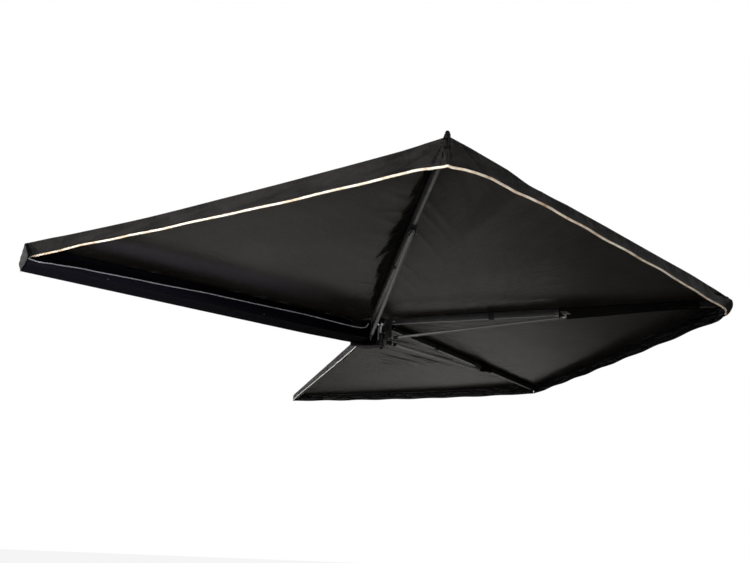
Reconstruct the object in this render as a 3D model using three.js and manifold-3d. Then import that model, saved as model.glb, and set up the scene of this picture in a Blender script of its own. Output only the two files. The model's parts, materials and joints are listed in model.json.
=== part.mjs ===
// A side awning for a vehicle. A rail hangs on the vehicle's roof rack, and four arms swing on one upright
// pin at the rail's end and spread a fan of four cloth panels. Lengths are in millimetres and +Z is up.
// The rail runs from the pin towards -X, and +Y points at the vehicle. The origin is under the middle
// rack bracket, where it rests on the rack.
import * as THREE from "three";
import { mergeVertices } from "three/addons/utils/BufferGeometryUtils.js";
import Module from "manifold-3d";

const wasm = await Module();
wasm.setup();

// Driving sizes. The height zero is the upper face of the cloth where it lies on the arms.
const reach = 2500; // from the pin's axis to a cloth corner on an arm
const railFarEnd = 2560; // from the pin's axis to the rail's far end
const railNearEnd = 110; // from the pin's axis to the rail's near end
const stepDegrees = [68, 66.5, 64.5, 63]; // how far each arm opens from the rail or arm before it
const tipDrops = [60, 0, -22, 82]; // how far each arm's tip hangs below its root
const hemSags = [28, 8, 12, 16]; // how far the middle of each outer hem hangs below its ends
const clothThickness = 1.5;
const valanceHeights = [114, 136, 106, 94, 80]; // at the rail's far end, then at each arm
const flapHeight = 78; // the short flap along the last arm
const touchGap = 0.3; // between two pieces that bear on each other
const railSeat = 0.7; // between the cloth and the rail, which it leaves at a slope
const overrun = 4; // how far a cut runs past the wall that it goes through
const weld = 0.0005; // points nearer than this are one point

// Arms
const rafterWidth = 28;
const rafterHeight = 40;
const rafterWall = 2;
const trackWidth = 10; // the sail track along the rafter's top
const trackHeight = 12;
const rafterStart = 100; // from the pin's axis to the rafter's near end
const stackPitch = 38; // from arm to arm where they lie folded side by side
const stackInset = 38; // from the pin's axis to the folded stack's middle, towards the rail
const braceRadius = 11;
const braceWall = 2;
const braceRootDepth = 165; // the brace's axis below the cloth at the knuckle
const braceTipDrop = 22; // the brace's axis below the rafter at its outer end
const braceReaches = [1720, 1390, 1390]; // from the pin's axis to each brace's outer end
const collarReaches = [1190, 870, 720, 870]; // from the pin's axis to each collar's middle
const collarLength = 42;
const clampWall = 2.5; // walls of the collar and of the brace's saddle
const saddleLength = 110;
const saddleSide = 24; // how far the saddle's cheeks reach up the rafter
const lugThickness = 5; // each ear that holds the brace's outer end
const lugLength = 46;
const lugRivetRadius = 4;
const capRim = 2; // how far the tip cap stands out round the rafter
const knobRadius = 11; // the tip cap's knob, which holds the cloth's corner
const knobTopRadius = 7.5;
const knobHeights = [38, 14, 14, 14]; // each knob's top above the cloth
const knobTaper = 7;
const knobSetbacks = [16, 16, 16, 26]; // from the cloth's corner back to each knob's axis
const plugLength = 30; // how far caps and tongues go into a tube

// Hub
const pinRadius = 8;
const sleeveRadius = 19;
const hubGap = 206; // between the two hub plates
const hubLift = 1; // the upper plate's underside above the cloth's level
const hubPlate = 6; // thickness of the hub plates and of the web between them
const hubNoseRadius = 30; // the plates' round end about the pin
const hubNoseDegrees = [-135, 60]; // where that round end starts and ends
const hubWebNear = 112; // from the pin's axis to the web's near edge
const hubWebFar = 210;
const pinHeadRadius = 13;
const pinHeadHeight = 4;
const pinTail = 8; // the pin below its nut
const washerRadius = 15;
const washerThickness = 2.4;
const nutRadius = 14;
const nutHeight = 13;
const knuckleWeb = 8; // the upright plate of a knuckle
const knuckleWebStart = 44; // from the pin's axis to that plate
const knuckleWebGap = 3; // between that plate and the tubes, which leave it at a slope
const knuckleTopDepth = 5; // that plate's top below the cloth's level
const knuckleFoot = 20; // how far that plate runs below the brace's axis
const knuckleArmWidth = 20; // the lug from the sleeve to the plate
const bossLength = 32; // the round boss behind the brace's near end
const hubBoltRadius = 5;
const hubBoltHeadRadius = 9;
const hubBoltHead = 5;
const hubBoltReaches = [140, 185]; // from the pin's axis to each bolt
const hubBoltDepth = 57;
const hubBoltLength = 12; // past the web's back

// Rail
const railFront = 126; // from the pin's axis to the rail's front face
const railDepth = 32;
const railHeight = 110;
const railWall = 3;
const kederRadius = 3.5;
const kederInset = 6; // from the rail's front face to the keder's axis
const kederTail = 1.6; // thickness of the cloth tail over the keder's cord
const grooveMouth = 2.8;
const grooveDepth = 7; // the keder's axis below the rail's top
const slotMouth = 9; // the T-slot in the rail's back
const slotWidth = 17;
const slotDepth = 7;
const slotLip = 3;
const slotBelowTop = 80; // the T-slot's middle below the rail's top
const chamberTop = 14; // the hollow chamber's roof below the rail's top
const railCap = 3;
const railPlug = 12;

// Rack brackets
const bracketShares = [0.1, 0.5, 0.9]; // places along the rail, from its near end
const bracketWidth = 60;
const bracketPlate = 6;
const bracketLeg = 60;
const bracketFoot = 80;
const bracketHolePitch = 36;
const footSlotLength = 34;
const footSlotPitch = 34;
const gussetThickness = 5;
const gussetSide = 34;
const studRadius = 4;
const studLength = 21; // past the T-slot's lips
const studPlateLength = 60;

// Travel bag
const bagDepth = 188; // the bag's floor below the cloth
const bagFront = 52; // from the pin's axis to the front lip's outer face
const bagNearEnd = 152; // from the pin's axis to the front lip's near end
const bagSheet = 1.5;
const bagEndShare = 0.79; // the end panel's front corner, below the cloth, as a share of the bag's depth
const bagPipingRadius = 3;
const pipingSteps = 4; // rings from one point of the piping's route to the next
const lidRadius = 20; // the lid, rolled up behind the rail
const lidBelowTop = 24; // the roll's axis below the rail's top
const lidInset = 90; // from each rail end to the roll
const strapWidth = 25;
const strapThickness = 1.5;
const strapShares = [0.22, 0.5, 0.78];
// Each pair is a place along the bag, from its near end, and a share of the bag's depth.
const bagFloorShares = [[0, 0.957], [0.27, 0.99], [0.5, 1.035], [0.68, 1.01], [0.86, 0.96], [1, 1]];
const bagLipShares = [
  [0, 0.35], [0.004, 0.47], [0.012, 0.57], [0.03, 0.63], [0.055, 0.645], [0.225, 0.612],
  [0.52, 0.665], [0.7, 0.755], [0.87, 0.825], [0.94, 0.89], [0.975, 0.935], [1, 0.9],
];

// Cloth
const clothStart = 45; // from the pin's axis to the panels' inner hems
const clothGather = 260; // over this length from the pin the hems close in on it and the cloth rises
const crownHeight = 13.2; // the cloth over the hub above its level on the arms
const seamGap = 0.4; // between a panel's hem and the seam's middle
const foldDepth = 9; // how far a valance's folds swing out at its lower edge
const foldPitch = 390;
const foldSteps = 4; // faces across one fold
const valanceRailGap = 16; // between the first valance's end and the corner on the rail
const patchRadius = 60; // the round patch over the hub
const panelAcross = 12; // faces across and along a panel
const panelAlong = 7;
const valanceAlong = 2;
const roundSides = 24;
const smallSides = 16;
const nutSides = 6;

const armCount = stepDegrees.length;
const bracedCount = braceReaches.length; // the last arm, which carries one edge only, has no brace
const clothUnderside = -clothThickness;
const trackTop = clothUnderside - touchGap;
const rafterTop = trackTop - trackHeight;
const rafterBottom = rafterTop - rafterHeight;
const clampHalfWidth = rafterWidth / 2 + touchGap + clampWall;
const knobHoleRadius = knobRadius + touchGap;
const flapOffset = clampHalfWidth + 2 * touchGap;
const hubTop = hubLift;
const hubBottom = hubLift - hubGap;
const railTop = clothUnderside - railSeat;
const railBottom = railTop - railHeight;
const railBack = railFront + railDepth;
const webBack = railFront - touchGap;
const webFront = webBack - hubPlate;
const cornerInset = railFront + kederInset;
const slotHeight = railTop - slotBelowTop;
const legFront = railBack + touchGap;
const footBottom = railBottom;
const bagLength = railFarEnd - bagNearEnd;

const finishes = {
  cloth: { color: 0x1d1c1d, roughness: 0.62, metalness: 0 },
  vinyl: { color: 0x14161a, roughness: 0.45, metalness: 0 },
  piping: { color: 0xcfc4ad, roughness: 0.6, metalness: 0 },
  tube: { color: 0x2c2d2f, roughness: 0.35, metalness: 0.7 },
  steel: { color: 0x17181a, roughness: 0.5, metalness: 0.5 },
  zinc: { color: 0x9a9da0, roughness: 0.3, metalness: 0.9 },
  plastic: { color: 0x111112, roughness: 0.6, metalness: 0 },
};

// Makes a solid, which can be joined and cut, from a closed geometry.
function solid(geometry) {
  const bare = geometry.index ? geometry.toNonIndexed() : geometry.clone();
  bare.deleteAttribute("normal");
  bare.deleteAttribute("uv");
  const merged = mergeVertices(bare, weld);
  return new wasm.Manifold(
    new wasm.Mesh({
      numProp: 3,
      vertProperties: merged.attributes.position.array,
      triVerts: new Uint32Array(merged.index.array),
    }),
  );
}

// Gives a solid back as a geometry with flat faces.
function geometryOf(body) {
  const { vertProperties, triVerts } = body.getMesh();
  const indexed = new THREE.BufferGeometry();
  indexed.setAttribute("position", new THREE.BufferAttribute(vertProperties, 3));
  indexed.setIndex(new THREE.BufferAttribute(triVerts, 1));
  const flat = indexed.toNonIndexed();
  flat.computeVertexNormals();
  return flat;
}

// Names a geometry or solid, gives it a finish and adds it to a group.
function piece(group, name, shape, finish) {
  const geometry = shape.isBufferGeometry ? shape : geometryOf(shape);
  const mesh = new THREE.Mesh(geometry, new THREE.MeshStandardMaterial(finishes[finish]));
  mesh.name = name;
  group.add(mesh);
  return mesh;
}

const radians = (degrees) => THREE.MathUtils.degToRad(degrees);
const point = (x, y, z) => new THREE.Vector3(x, y, z);

// A block between two opposite corners.
function block(low, high) {
  const size = high.map((value, axis) => value - low[axis]);
  const middle = high.map((value, axis) => (value + low[axis]) / 2);
  return new THREE.BoxGeometry(...size).translate(...middle);
}

// A round bar from one point to another.
function bar(radius, from, to, sides = roundSides, toRadius = radius) {
  const along = to.clone().sub(from);
  const turn = new THREE.Quaternion().setFromUnitVectors(point(0, 1, 0), along.clone().normalize());
  const middle = from.clone().add(to).divideScalar(2);
  const cylinder = new THREE.CylinderGeometry(toRadius, radius, along.length(), sides);
  return cylinder.applyQuaternion(turn).translate(middle.x, middle.y, middle.z);
}

// An outline through the given pairs, with any holes, pushed out to a depth.
function pushed(pairs, depth, holes = []) {
  const shape = new THREE.Shape(pairs.map(([a, b]) => new THREE.Vector2(a, b)));
  shape.holes = holes.map((hole) => new THREE.Path(hole.map(([a, b]) => new THREE.Vector2(a, b))));
  return new THREE.ExtrudeGeometry(shape, { depth, bevelEnabled: false });
}

// An outline of Y and Z pairs, run along X.
function alongX(pairs, x0, x1, holes = []) {
  const turn = new THREE.Matrix4().set(0, 0, 1, x0, 1, 0, 0, 0, 0, 1, 0, 0, 0, 0, 0, 1);
  return pushed(pairs, x1 - x0, holes).applyMatrix4(turn);
}

// An outline of X and Z pairs, run along Y.
function alongY(pairs, y0, y1) {
  return pushed(pairs, y1 - y0).rotateX(Math.PI / 2).translate(0, y1, 0);
}

// An outline of X and Y pairs, stood up between two heights.
function upright(pairs, z0, z1, holes = []) {
  return pushed(pairs, z1 - z0, holes).translate(0, 0, z0);
}

// The corners of an upright or level rectangle, anticlockwise.
const rectangle = (a0, a1, b0, b1) => [[a0, b0], [a1, b0], [a1, b1], [a0, b1]];

// Pairs on an arc about a centre, in degrees.
function arc([a, b], radius, startDegrees, endDegrees, count) {
  const pairs = [];
  for (let i = 0; i <= count; i++) {
    const angle = radians(startDegrees + ((endDegrees - startDegrees) * i) / count);
    pairs.push([a + radius * Math.cos(angle), b + radius * Math.sin(angle)]);
  }
  return pairs;
}

// A straight line through tabled pairs, read at a place between them.
function tabled(table, place) {
  const next = Math.max(1, table.findIndex(([at]) => at >= place));
  const [[a0, b0], [a1, b1]] = [table[next - 1], table[next]];
  return THREE.MathUtils.lerp(b0, b1, (place - a0) / (a1 - a0));
}

// A thin closed sheet. pointAt(u, v) is its outer face, and inward leads from there to its inner face.
function sheet(pointAt, across, along, inward) {
  const outer = [];
  for (let i = 0; i <= across; i++)
    for (let j = 0; j <= along; j++) outer.push(pointAt(i / across, j / along));
  const inner = outer.map((p) => p.clone().add(inward));
  const at = (i, j) => i * (along + 1) + j;
  const index = [];
  const quad = (a, b, c, d) => index.push(a, b, c, a, c, d);
  const lower = (k) => k + outer.length;
  for (let i = 0; i < across; i++)
    for (let j = 0; j < along; j++) {
      const [a, b, c, d] = [at(i, j), at(i, j + 1), at(i + 1, j + 1), at(i + 1, j)];
      quad(a, b, c, d);
      quad(lower(a), lower(d), lower(c), lower(b));
    }
  for (let i = 0; i < across; i++) {
    quad(at(i, 0), at(i + 1, 0), lower(at(i + 1, 0)), lower(at(i, 0)));
    quad(at(i, along), lower(at(i, along)), lower(at(i + 1, along)), at(i + 1, along));
  }
  for (let j = 0; j < along; j++) {
    quad(at(0, j), lower(at(0, j)), lower(at(0, j + 1)), at(0, j + 1));
    quad(at(across, j), at(across, j + 1), lower(at(across, j + 1)), lower(at(across, j)));
  }
  const geometry = new THREE.BufferGeometry();
  geometry.setAttribute(
    "position",
    new THREE.Float32BufferAttribute([...outer, ...inner].flatMap((p) => [p.x, p.y, p.z]), 3),
  );
  geometry.setIndex(index);
  geometry.computeVertexNormals();
  return geometry;
}

// Where the arms lie. Each arm has its own offset across its own direction, so that the arms lie side by
// side when they are all folded against the rail, the last one outermost.
const offsetOf = (arm) => (arm - (armCount - 1) / 2) * stackPitch - stackInset;
const headingOf = (arm) => 180 + stepDegrees.slice(0, arm + 1).reduce((sum, step) => sum + step, 0);
const tiltOf = (arm) => Math.atan(tipDrops[arm] / (reach - rafterStart));

// The transform from a rafter's own frame, which starts at its near end and runs along it, to its arm.
function rafterFrame(arm) {
  const place = new THREE.Matrix4().makeTranslation(rafterStart, offsetOf(arm), 0);
  return place.multiply(new THREE.Matrix4().makeRotationY(tiltOf(arm)));
}

// A point over an arm: its distance from the pin, its place across the arm and its height.
function overArm(arm, distance, across, height) {
  const drop = Math.max(0, distance - rafterStart) * Math.tan(tiltOf(arm));
  return point(distance, across, height - drop).applyAxisAngle(point(0, 0, 1), radians(headingOf(arm)));
}

// The brace's axis, from its knuckle to its saddle, in its arm's frame.
function braceEnds(arm) {
  const near = point(rafterStart + touchGap, offsetOf(arm), -braceRootDepth);
  const outer = point(braceReaches[arm] - rafterStart, 0, rafterBottom - braceTipDrop);
  return [near, outer.applyMatrix4(rafterFrame(arm))];
}

// From the pin's axis to the knob's axis, and to the rafter's outer end behind it.
const knobDistance = (arm) => reach - knobSetbacks[arm];
const rafterEnd = (arm) => knobDistance(arm) - knobRadius - 2 * touchGap;

// Arm pieces. Those on the rafter are drawn in the rafter's own frame.
function rafter(arm) {
  const half = rafterWidth / 2;
  const track = trackWidth / 2;
  const outline = [
    [-half, rafterBottom], [half, rafterBottom], [half, rafterTop], [track, rafterTop],
    [track, trackTop], [-track, trackTop], [-track, rafterTop], [-half, rafterTop],
  ];
  const bore = rectangle(
    -half + rafterWall, half - rafterWall, rafterBottom + rafterWall, rafterTop - rafterWall,
  );
  return alongX(outline, 0, rafterEnd(arm) - rafterStart, [bore]);
}

// The block that fills the rafter's bore with a seat's clearance.
function rafterPlug(x0, x1) {
  const inset = rafterWall + touchGap;
  const half = rafterWidth / 2 - inset;
  return block([x0, -half, rafterBottom + inset], [x1, half, rafterTop - inset]);
}

// The cap on the rafter's end, with the knob that stands up through the cloth's corner.
function tipCap(arm) {
  const end = rafterEnd(arm) - rafterStart;
  const axis = knobDistance(arm) - rafterStart;
  const half = rafterWidth / 2 + capRim;
  const low = rafterBottom - capRim;
  const shoulder = knobHeights[arm] - knobTaper;
  const flange = solid(block([end + touchGap, -half, low], [axis, half, rafterTop + capRim]));
  const post = solid(bar(knobRadius, point(axis, 0, low), point(axis, 0, shoulder)));
  const top = bar(
    knobRadius, point(axis, 0, shoulder), point(axis, 0, knobHeights[arm]), roundSides, knobTopRadius,
  );
  const plug = rafterPlug(end - plugLength, end + touchGap + overrun);
  return flange.add(post).add(solid(top)).add(solid(plug));
}

// A band round the rafter that leaves its sail track free.
function collar() {
  const half = rafterWidth / 2 + touchGap;
  const mouth = trackWidth / 2 + touchGap;
  const [low, high] = [rafterBottom - touchGap, rafterTop + touchGap];
  const outline = [
    [-mouth, high], [-half, high], [-half, low], [half, low], [half, high], [mouth, high],
    [mouth, high + clampWall], [clampHalfWidth, high + clampWall], [clampHalfWidth, low - clampWall],
    [-clampHalfWidth, low - clampWall], [-clampHalfWidth, high + clampWall], [-mouth, high + clampWall],
  ];
  return alongX(outline, -collarLength / 2, collarLength / 2);
}

// The saddle under the rafter, with two ears that hold the brace's outer end, and its rivet.
function saddle() {
  const half = rafterWidth / 2 + touchGap;
  const low = rafterBottom - touchGap;
  const cheek = rafterBottom + saddleSide;
  const outline = [
    [-half, cheek], [-half, low], [half, low], [half, cheek], [clampHalfWidth, cheek],
    [clampHalfWidth, low - clampWall], [-clampHalfWidth, low - clampWall], [-clampHalfWidth, cheek],
  ];
  const channel = solid(alongX(outline, -saddleLength / 2, saddleLength / 2));
  const axis = rafterBottom - braceTipDrop;
  const ear = braceRadius + touchGap;
  const earBottom = axis - braceRadius;
  const ears = [-1, 1].map((side) => {
    const [y0, y1] = [side * ear, side * (ear + lugThickness)].sort((a, b) => a - b);
    return solid(block([-lugLength / 2, y0, earBottom], [lugLength / 2, y1, low - clampWall / 2]));
  });
  const rivet = bar(
    lugRivetRadius,
    point(0, -ear - lugThickness / 2, axis),
    point(0, ear + lugThickness / 2, axis),
    smallSides,
  );
  return ears.reduce((body, one) => body.add(one), channel).add(solid(rivet));
}

// The brace: a tube from the knuckle to the saddle, bored across for the saddle's rivet.
function brace(arm) {
  const [near, outer] = braceEnds(arm);
  const along = outer.clone().sub(near).normalize();
  const end = outer.clone().addScaledVector(along, braceRadius);
  const extra = along.clone().multiplyScalar(overrun);
  const tube = solid(bar(braceRadius, near, end, smallSides));
  const boreStart = near.clone().sub(extra);
  const bore = solid(bar(braceRadius - braceWall, boreStart, end.clone().add(extra), smallSides));
  const across = point(0, braceRadius + overrun, 0);
  const hole = bar(lugRivetRadius + touchGap, outer.clone().sub(across), outer.clone().add(across));
  return tube.subtract(bore).subtract(solid(hole));
}

// The height range of an arm's sleeve on the pin, the first arm's at the top.
function sleeveHeights(arm) {
  const height = (hubGap - (armCount + 1) * touchGap) / armCount;
  const top = hubTop - touchGap - arm * (height + touchGap);
  return [top - height, top];
}

// The knuckle's boss behind the brace's near end and its spigot into the brace.
function braceRoot(arm) {
  const [near, outer] = braceEnds(arm);
  const along = outer.clone().sub(near).normalize();
  const back = near.clone().addScaledVector(along, -bossLength);
  const bossEnd = near.clone().addScaledVector(along, -touchGap);
  const spigotEnd = near.clone().addScaledVector(along, plugLength);
  const spigotRadius = braceRadius - braceWall - touchGap;
  const boss = solid(bar(braceRadius, back, bossEnd, smallSides));
  return boss.add(solid(bar(spigotRadius, back, spigotEnd, smallSides)));
}

// The knuckle: a sleeve on the pin, an upright plate and a tongue into the rafter.
function knuckle(arm) {
  const offset = offsetOf(arm);
  const [low, high] = sleeveHeights(arm);
  const sleeve = solid(bar(sleeveRadius, point(0, 0, low), point(0, 0, high)));
  const start = [knuckleWebStart, offset - knuckleWeb / 2, -braceRootDepth - knuckleFoot];
  const end = [rafterStart - knuckleWebGap, offset + knuckleWeb / 2, -knuckleTopDepth];
  const web = solid(block(start, end));
  const target = new THREE.Vector2(knuckleWebStart + knuckleWeb / 2, offset);
  const lug = block([0, -knuckleArmWidth / 2, low], [target.length(), knuckleArmWidth / 2, high]);
  const lugSolid = solid(lug.rotateZ(target.angle()));
  const tongue = rafterPlug(-knuckleWebGap - knuckleWeb, plugLength).applyMatrix4(rafterFrame(arm));
  const bore = bar(pinRadius + touchGap, point(0, 0, low - overrun), point(0, 0, high + overrun));
  const parts = [web, lugSolid, solid(tongue), ...(arm < bracedCount ? [braceRoot(arm)] : [])];
  return parts.reduce((body, one) => body.add(one), sleeve).subtract(solid(bore));
}

function buildArm(arm, group) {
  const name = `arm_${arm + 1}`;
  const onRafter = new THREE.Group();
  rafterFrame(arm).decompose(onRafter.position, onRafter.quaternion, onRafter.scale);
  group.add(onRafter);
  piece(group, `${name}_knuckle`, knuckle(arm), "steel");
  piece(onRafter, `${name}_rafter`, rafter(arm), "tube");
  piece(onRafter, `${name}_tip_cap`, tipCap(arm), "plastic");
  const band = piece(onRafter, `${name}_collar`, collar(), "steel");
  band.position.x = collarReaches[arm] - rafterStart;
  if (arm < bracedCount) {
    piece(group, `${name}_brace`, brace(arm), "tube");
    const seat = piece(onRafter, `${name}_brace_saddle`, saddle(), "steel");
    seat.position.x = braceReaches[arm] - rafterStart;
  }
}

// The hub bracket: two plates joined by a web that bolts to the rail's front face.
function hubBracket() {
  const outline = [
    ...arc([0, 0], hubNoseRadius, ...hubNoseDegrees, roundSides / 2),
    [-railNearEnd / 2, webBack], [-hubWebFar, webBack], [-hubWebFar, webFront],
    [-hubWebNear, hubWebNear / 2],
  ];
  const plates = [
    solid(upright(outline, hubTop, hubTop + hubPlate)),
    solid(upright(outline, hubBottom - hubPlate, hubBottom)),
  ];
  const web = solid(block([-hubWebFar, webFront, hubBottom], [-hubWebNear, webBack, hubTop]));
  const drills = hubBoltReaches.map((distance) =>
    solid(
      bar(
        hubBoltRadius + touchGap,
        point(-distance, webFront - overrun, -hubBoltDepth),
        point(-distance, webBack + overrun, -hubBoltDepth),
        smallSides,
      ),
    ),
  );
  const bottom = hubBottom - hubPlate - overrun;
  const bore = bar(pinRadius + touchGap, point(0, 0, bottom), point(0, 0, hubTop + hubPlate + overrun));
  return drills.reduce(
    (body, drill) => body.subtract(drill),
    plates.reduce((body, plate) => body.add(plate), web).subtract(solid(bore)),
  );
}

function buildHub(group) {
  piece(group, "hub_bracket", hubBracket(), "steel");
  const headLow = hubTop + hubPlate + touchGap;
  const plateLow = hubBottom - hubPlate;
  const washerLow = plateLow - touchGap - washerThickness;
  const nutLow = washerLow - touchGap - nutHeight;
  const shank = solid(bar(pinRadius, point(0, 0, nutLow - pinTail), point(0, 0, headLow + pinHeadHeight)));
  const head = bar(pinHeadRadius, point(0, 0, headLow), point(0, 0, headLow + pinHeadHeight));
  piece(group, "pivot_pin", shank.add(solid(head)), "zinc");
  const ring = (radius, low, high, sides) =>
    solid(bar(radius, point(0, 0, low), point(0, 0, high), sides)).subtract(
      solid(bar(pinRadius + touchGap, point(0, 0, low - overrun), point(0, 0, high + overrun))),
    );
  piece(group, "pin_washer", ring(washerRadius, washerLow, washerLow + washerThickness), "zinc");
  piece(group, "pin_nut", ring(nutRadius, nutLow, nutLow + nutHeight, nutSides), "zinc");
  hubBoltReaches.forEach((distance, i) => {
    const at = (y) => point(-distance, y, -hubBoltDepth);
    const headBack = webFront - touchGap;
    const bolt = bar(hubBoltRadius, at(headBack - hubBoltHead), at(webBack + hubBoltLength), smallSides);
    const button = bar(hubBoltHeadRadius, at(headBack), at(headBack - hubBoltHead), smallSides);
    piece(group, `hub_bolt_${i + 1}`, solid(bolt).add(solid(button)), "zinc");
  });
}

// The rail's section as Y and Z pairs: a keder groove in its top and a T-slot in its back.
function railOutline() {
  const groove = [railFront + kederInset, railTop - grooveDepth];
  const bore = kederRadius + touchGap * 2;
  const opening = THREE.MathUtils.radToDeg(Math.asin(grooveMouth / 2 / bore));
  const mouth = slotMouth / 2;
  const wide = slotWidth / 2;
  return [
    [railFront, railBottom], [railBack, railBottom],
    [railBack, slotHeight - mouth], [railBack - slotLip, slotHeight - mouth],
    [railBack - slotLip, slotHeight - wide], [railBack - slotLip - slotDepth, slotHeight - wide],
    [railBack - slotLip - slotDepth, slotHeight + wide], [railBack - slotLip, slotHeight + wide],
    [railBack - slotLip, slotHeight + mouth], [railBack, slotHeight + mouth],
    [railBack, railTop], [groove[0] + grooveMouth / 2, railTop],
    ...arc(groove, bore, 90 - opening, opening - 270, roundSides / 2),
    [groove[0] - grooveMouth / 2, railTop], [railFront, railTop],
  ];
}

function railChamber() {
  const back = railBack - slotLip - slotDepth - railWall;
  return [railFront + railWall, back, railBottom + railWall, railTop - chamberTop];
}

function buildRail(group) {
  const section = solid(
    alongX(railOutline(), -railFarEnd, -railNearEnd, [rectangle(...railChamber())]),
  );
  const drills = hubBoltReaches.map((distance) =>
    solid(
      bar(
        hubBoltRadius + touchGap,
        point(-distance, railFront - overrun, -hubBoltDepth),
        point(-distance, railFront + railWall + overrun, -hubBoltDepth),
        smallSides,
      ),
    ),
  );
  const rail = drills.reduce((body, drill) => body.subtract(drill), section);
  piece(group, "mounting_rail", rail, "tube");

  const [y0, y1, z0, z1] = railChamber();
  const cap = (face, side) => {
    const inner = face + side * touchGap;
    const outer = inner + side * railCap;
    const plug = face - side * railPlug;
    const [p0, p1] = [plug, outer].sort((a, b) => a - b);
    const [c0, c1] = [inner, outer].sort((a, b) => a - b);
    const stopper = block(
      [p0, y0 + touchGap, z0 + touchGap],
      [p1, y1 - touchGap, z1 - touchGap],
    );
    return solid(block([c0, railFront, railBottom], [c1, railBack, railTop])).add(solid(stopper));
  };
  piece(group, "rail_cap_near", cap(-railNearEnd, 1), "plastic");
  piece(group, "rail_cap_far", cap(-railFarEnd, -1), "plastic");

  const [ky, kz] = [railFront + kederInset, railTop - grooveDepth];
  const cord = solid(
    bar(kederRadius, point(-railFarEnd, ky, kz), point(-clothGather, ky, kz), smallSides),
  );
  const tail = block(
    [-railFarEnd, ky - kederTail / 2, kz],
    [-clothGather, ky + kederTail / 2, clothUnderside - touchGap],
  );
  piece(group, "canopy_keder", cord.add(solid(tail)), "cloth");
}

// A rack bracket: a leg on the rail's back and a slotted foot, with a gusset between them.
function rackBracket() {
  const half = bracketWidth / 2;
  const legBack = legFront + bracketPlate;
  const footTop = footBottom + bracketPlate;
  const leg = solid(block([-half, legFront, footBottom], [half, legBack, footBottom + bracketLeg]));
  const foot = solid(block([-half, legFront, footBottom], [half, legFront + bracketFoot, footTop]));
  const gusset = [
    [legBack - bracketPlate / 2, footTop - bracketPlate / 2],
    [legBack + gussetSide, footTop - bracketPlate / 2],
    [legBack + gussetSide, footTop],
    [legBack, footTop + gussetSide],
    [legBack - bracketPlate / 2, footTop + gussetSide],
  ];
  const rib = solid(alongX(gusset, -gussetThickness / 2, gussetThickness / 2));
  const middle = legBack + (bracketFoot - bracketPlate) / 2;
  const cuts = [-1, 1].flatMap((side) => {
    const x = (side * footSlotPitch) / 2;
    const run = footSlotLength / 2 - studRadius - touchGap;
    const slot = [
      ...arc([x, middle + run], studRadius + touchGap, 0, 180, smallSides / 2),
      ...arc([x, middle - run], studRadius + touchGap, 180, 360, smallSides / 2),
    ];
    const hole = bar(
      studRadius + touchGap,
      point((side * bracketHolePitch) / 2, legFront - overrun, slotHeight),
      point((side * bracketHolePitch) / 2, legBack + overrun, slotHeight),
      smallSides,
    );
    return [solid(upright(slot, footBottom - overrun, footTop + overrun)), solid(hole)];
  });
  return cuts.reduce((body, cut) => body.subtract(cut), leg.add(foot).add(rib));
}

// A plate in the T-slot with two studs that reach out through a bracket's leg.
function studPlate() {
  const face = railBack - slotLip - touchGap;
  const half = slotWidth / 2 - touchGap;
  const low = [-studPlateLength / 2, face - slotDepth + 2 * touchGap, slotHeight - half];
  const plate = solid(block(low, [studPlateLength / 2, face, slotHeight + half]));
  const studs = [-1, 1].map((side) => {
    const x = (side * bracketHolePitch) / 2;
    const at = (y) => point(x, y, slotHeight);
    return solid(bar(studRadius, at(face - slotDepth / 2), at(railBack + studLength), smallSides));
  });
  return studs.reduce((body, stud) => body.add(stud), plate);
}

const bracketPlace = (share) => -THREE.MathUtils.lerp(railNearEnd, railFarEnd, share);

function buildBrackets(group) {
  bracketShares.forEach((share, i) => {
    const bracket = piece(group, `rack_bracket_${i + 1}`, rackBracket(), "steel");
    bracket.position.x = bracketPlace(share);
    const stud = piece(group, `bracket_stud_plate_${i + 1}`, studPlate(), "zinc");
    stud.position.x = bracketPlace(share);
  });
}

// The travel bag: back, floor, front lip with piping and far end, and its lid rolled up behind the rail.
const bagX = (place) => -THREE.MathUtils.lerp(bagNearEnd, railFarEnd, place);
const bagFloorHeight = (place) => -bagDepth * tabled(bagFloorShares, place);
const bagLipHeight = (place) => -bagDepth * tabled(bagLipShares, place);

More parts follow.
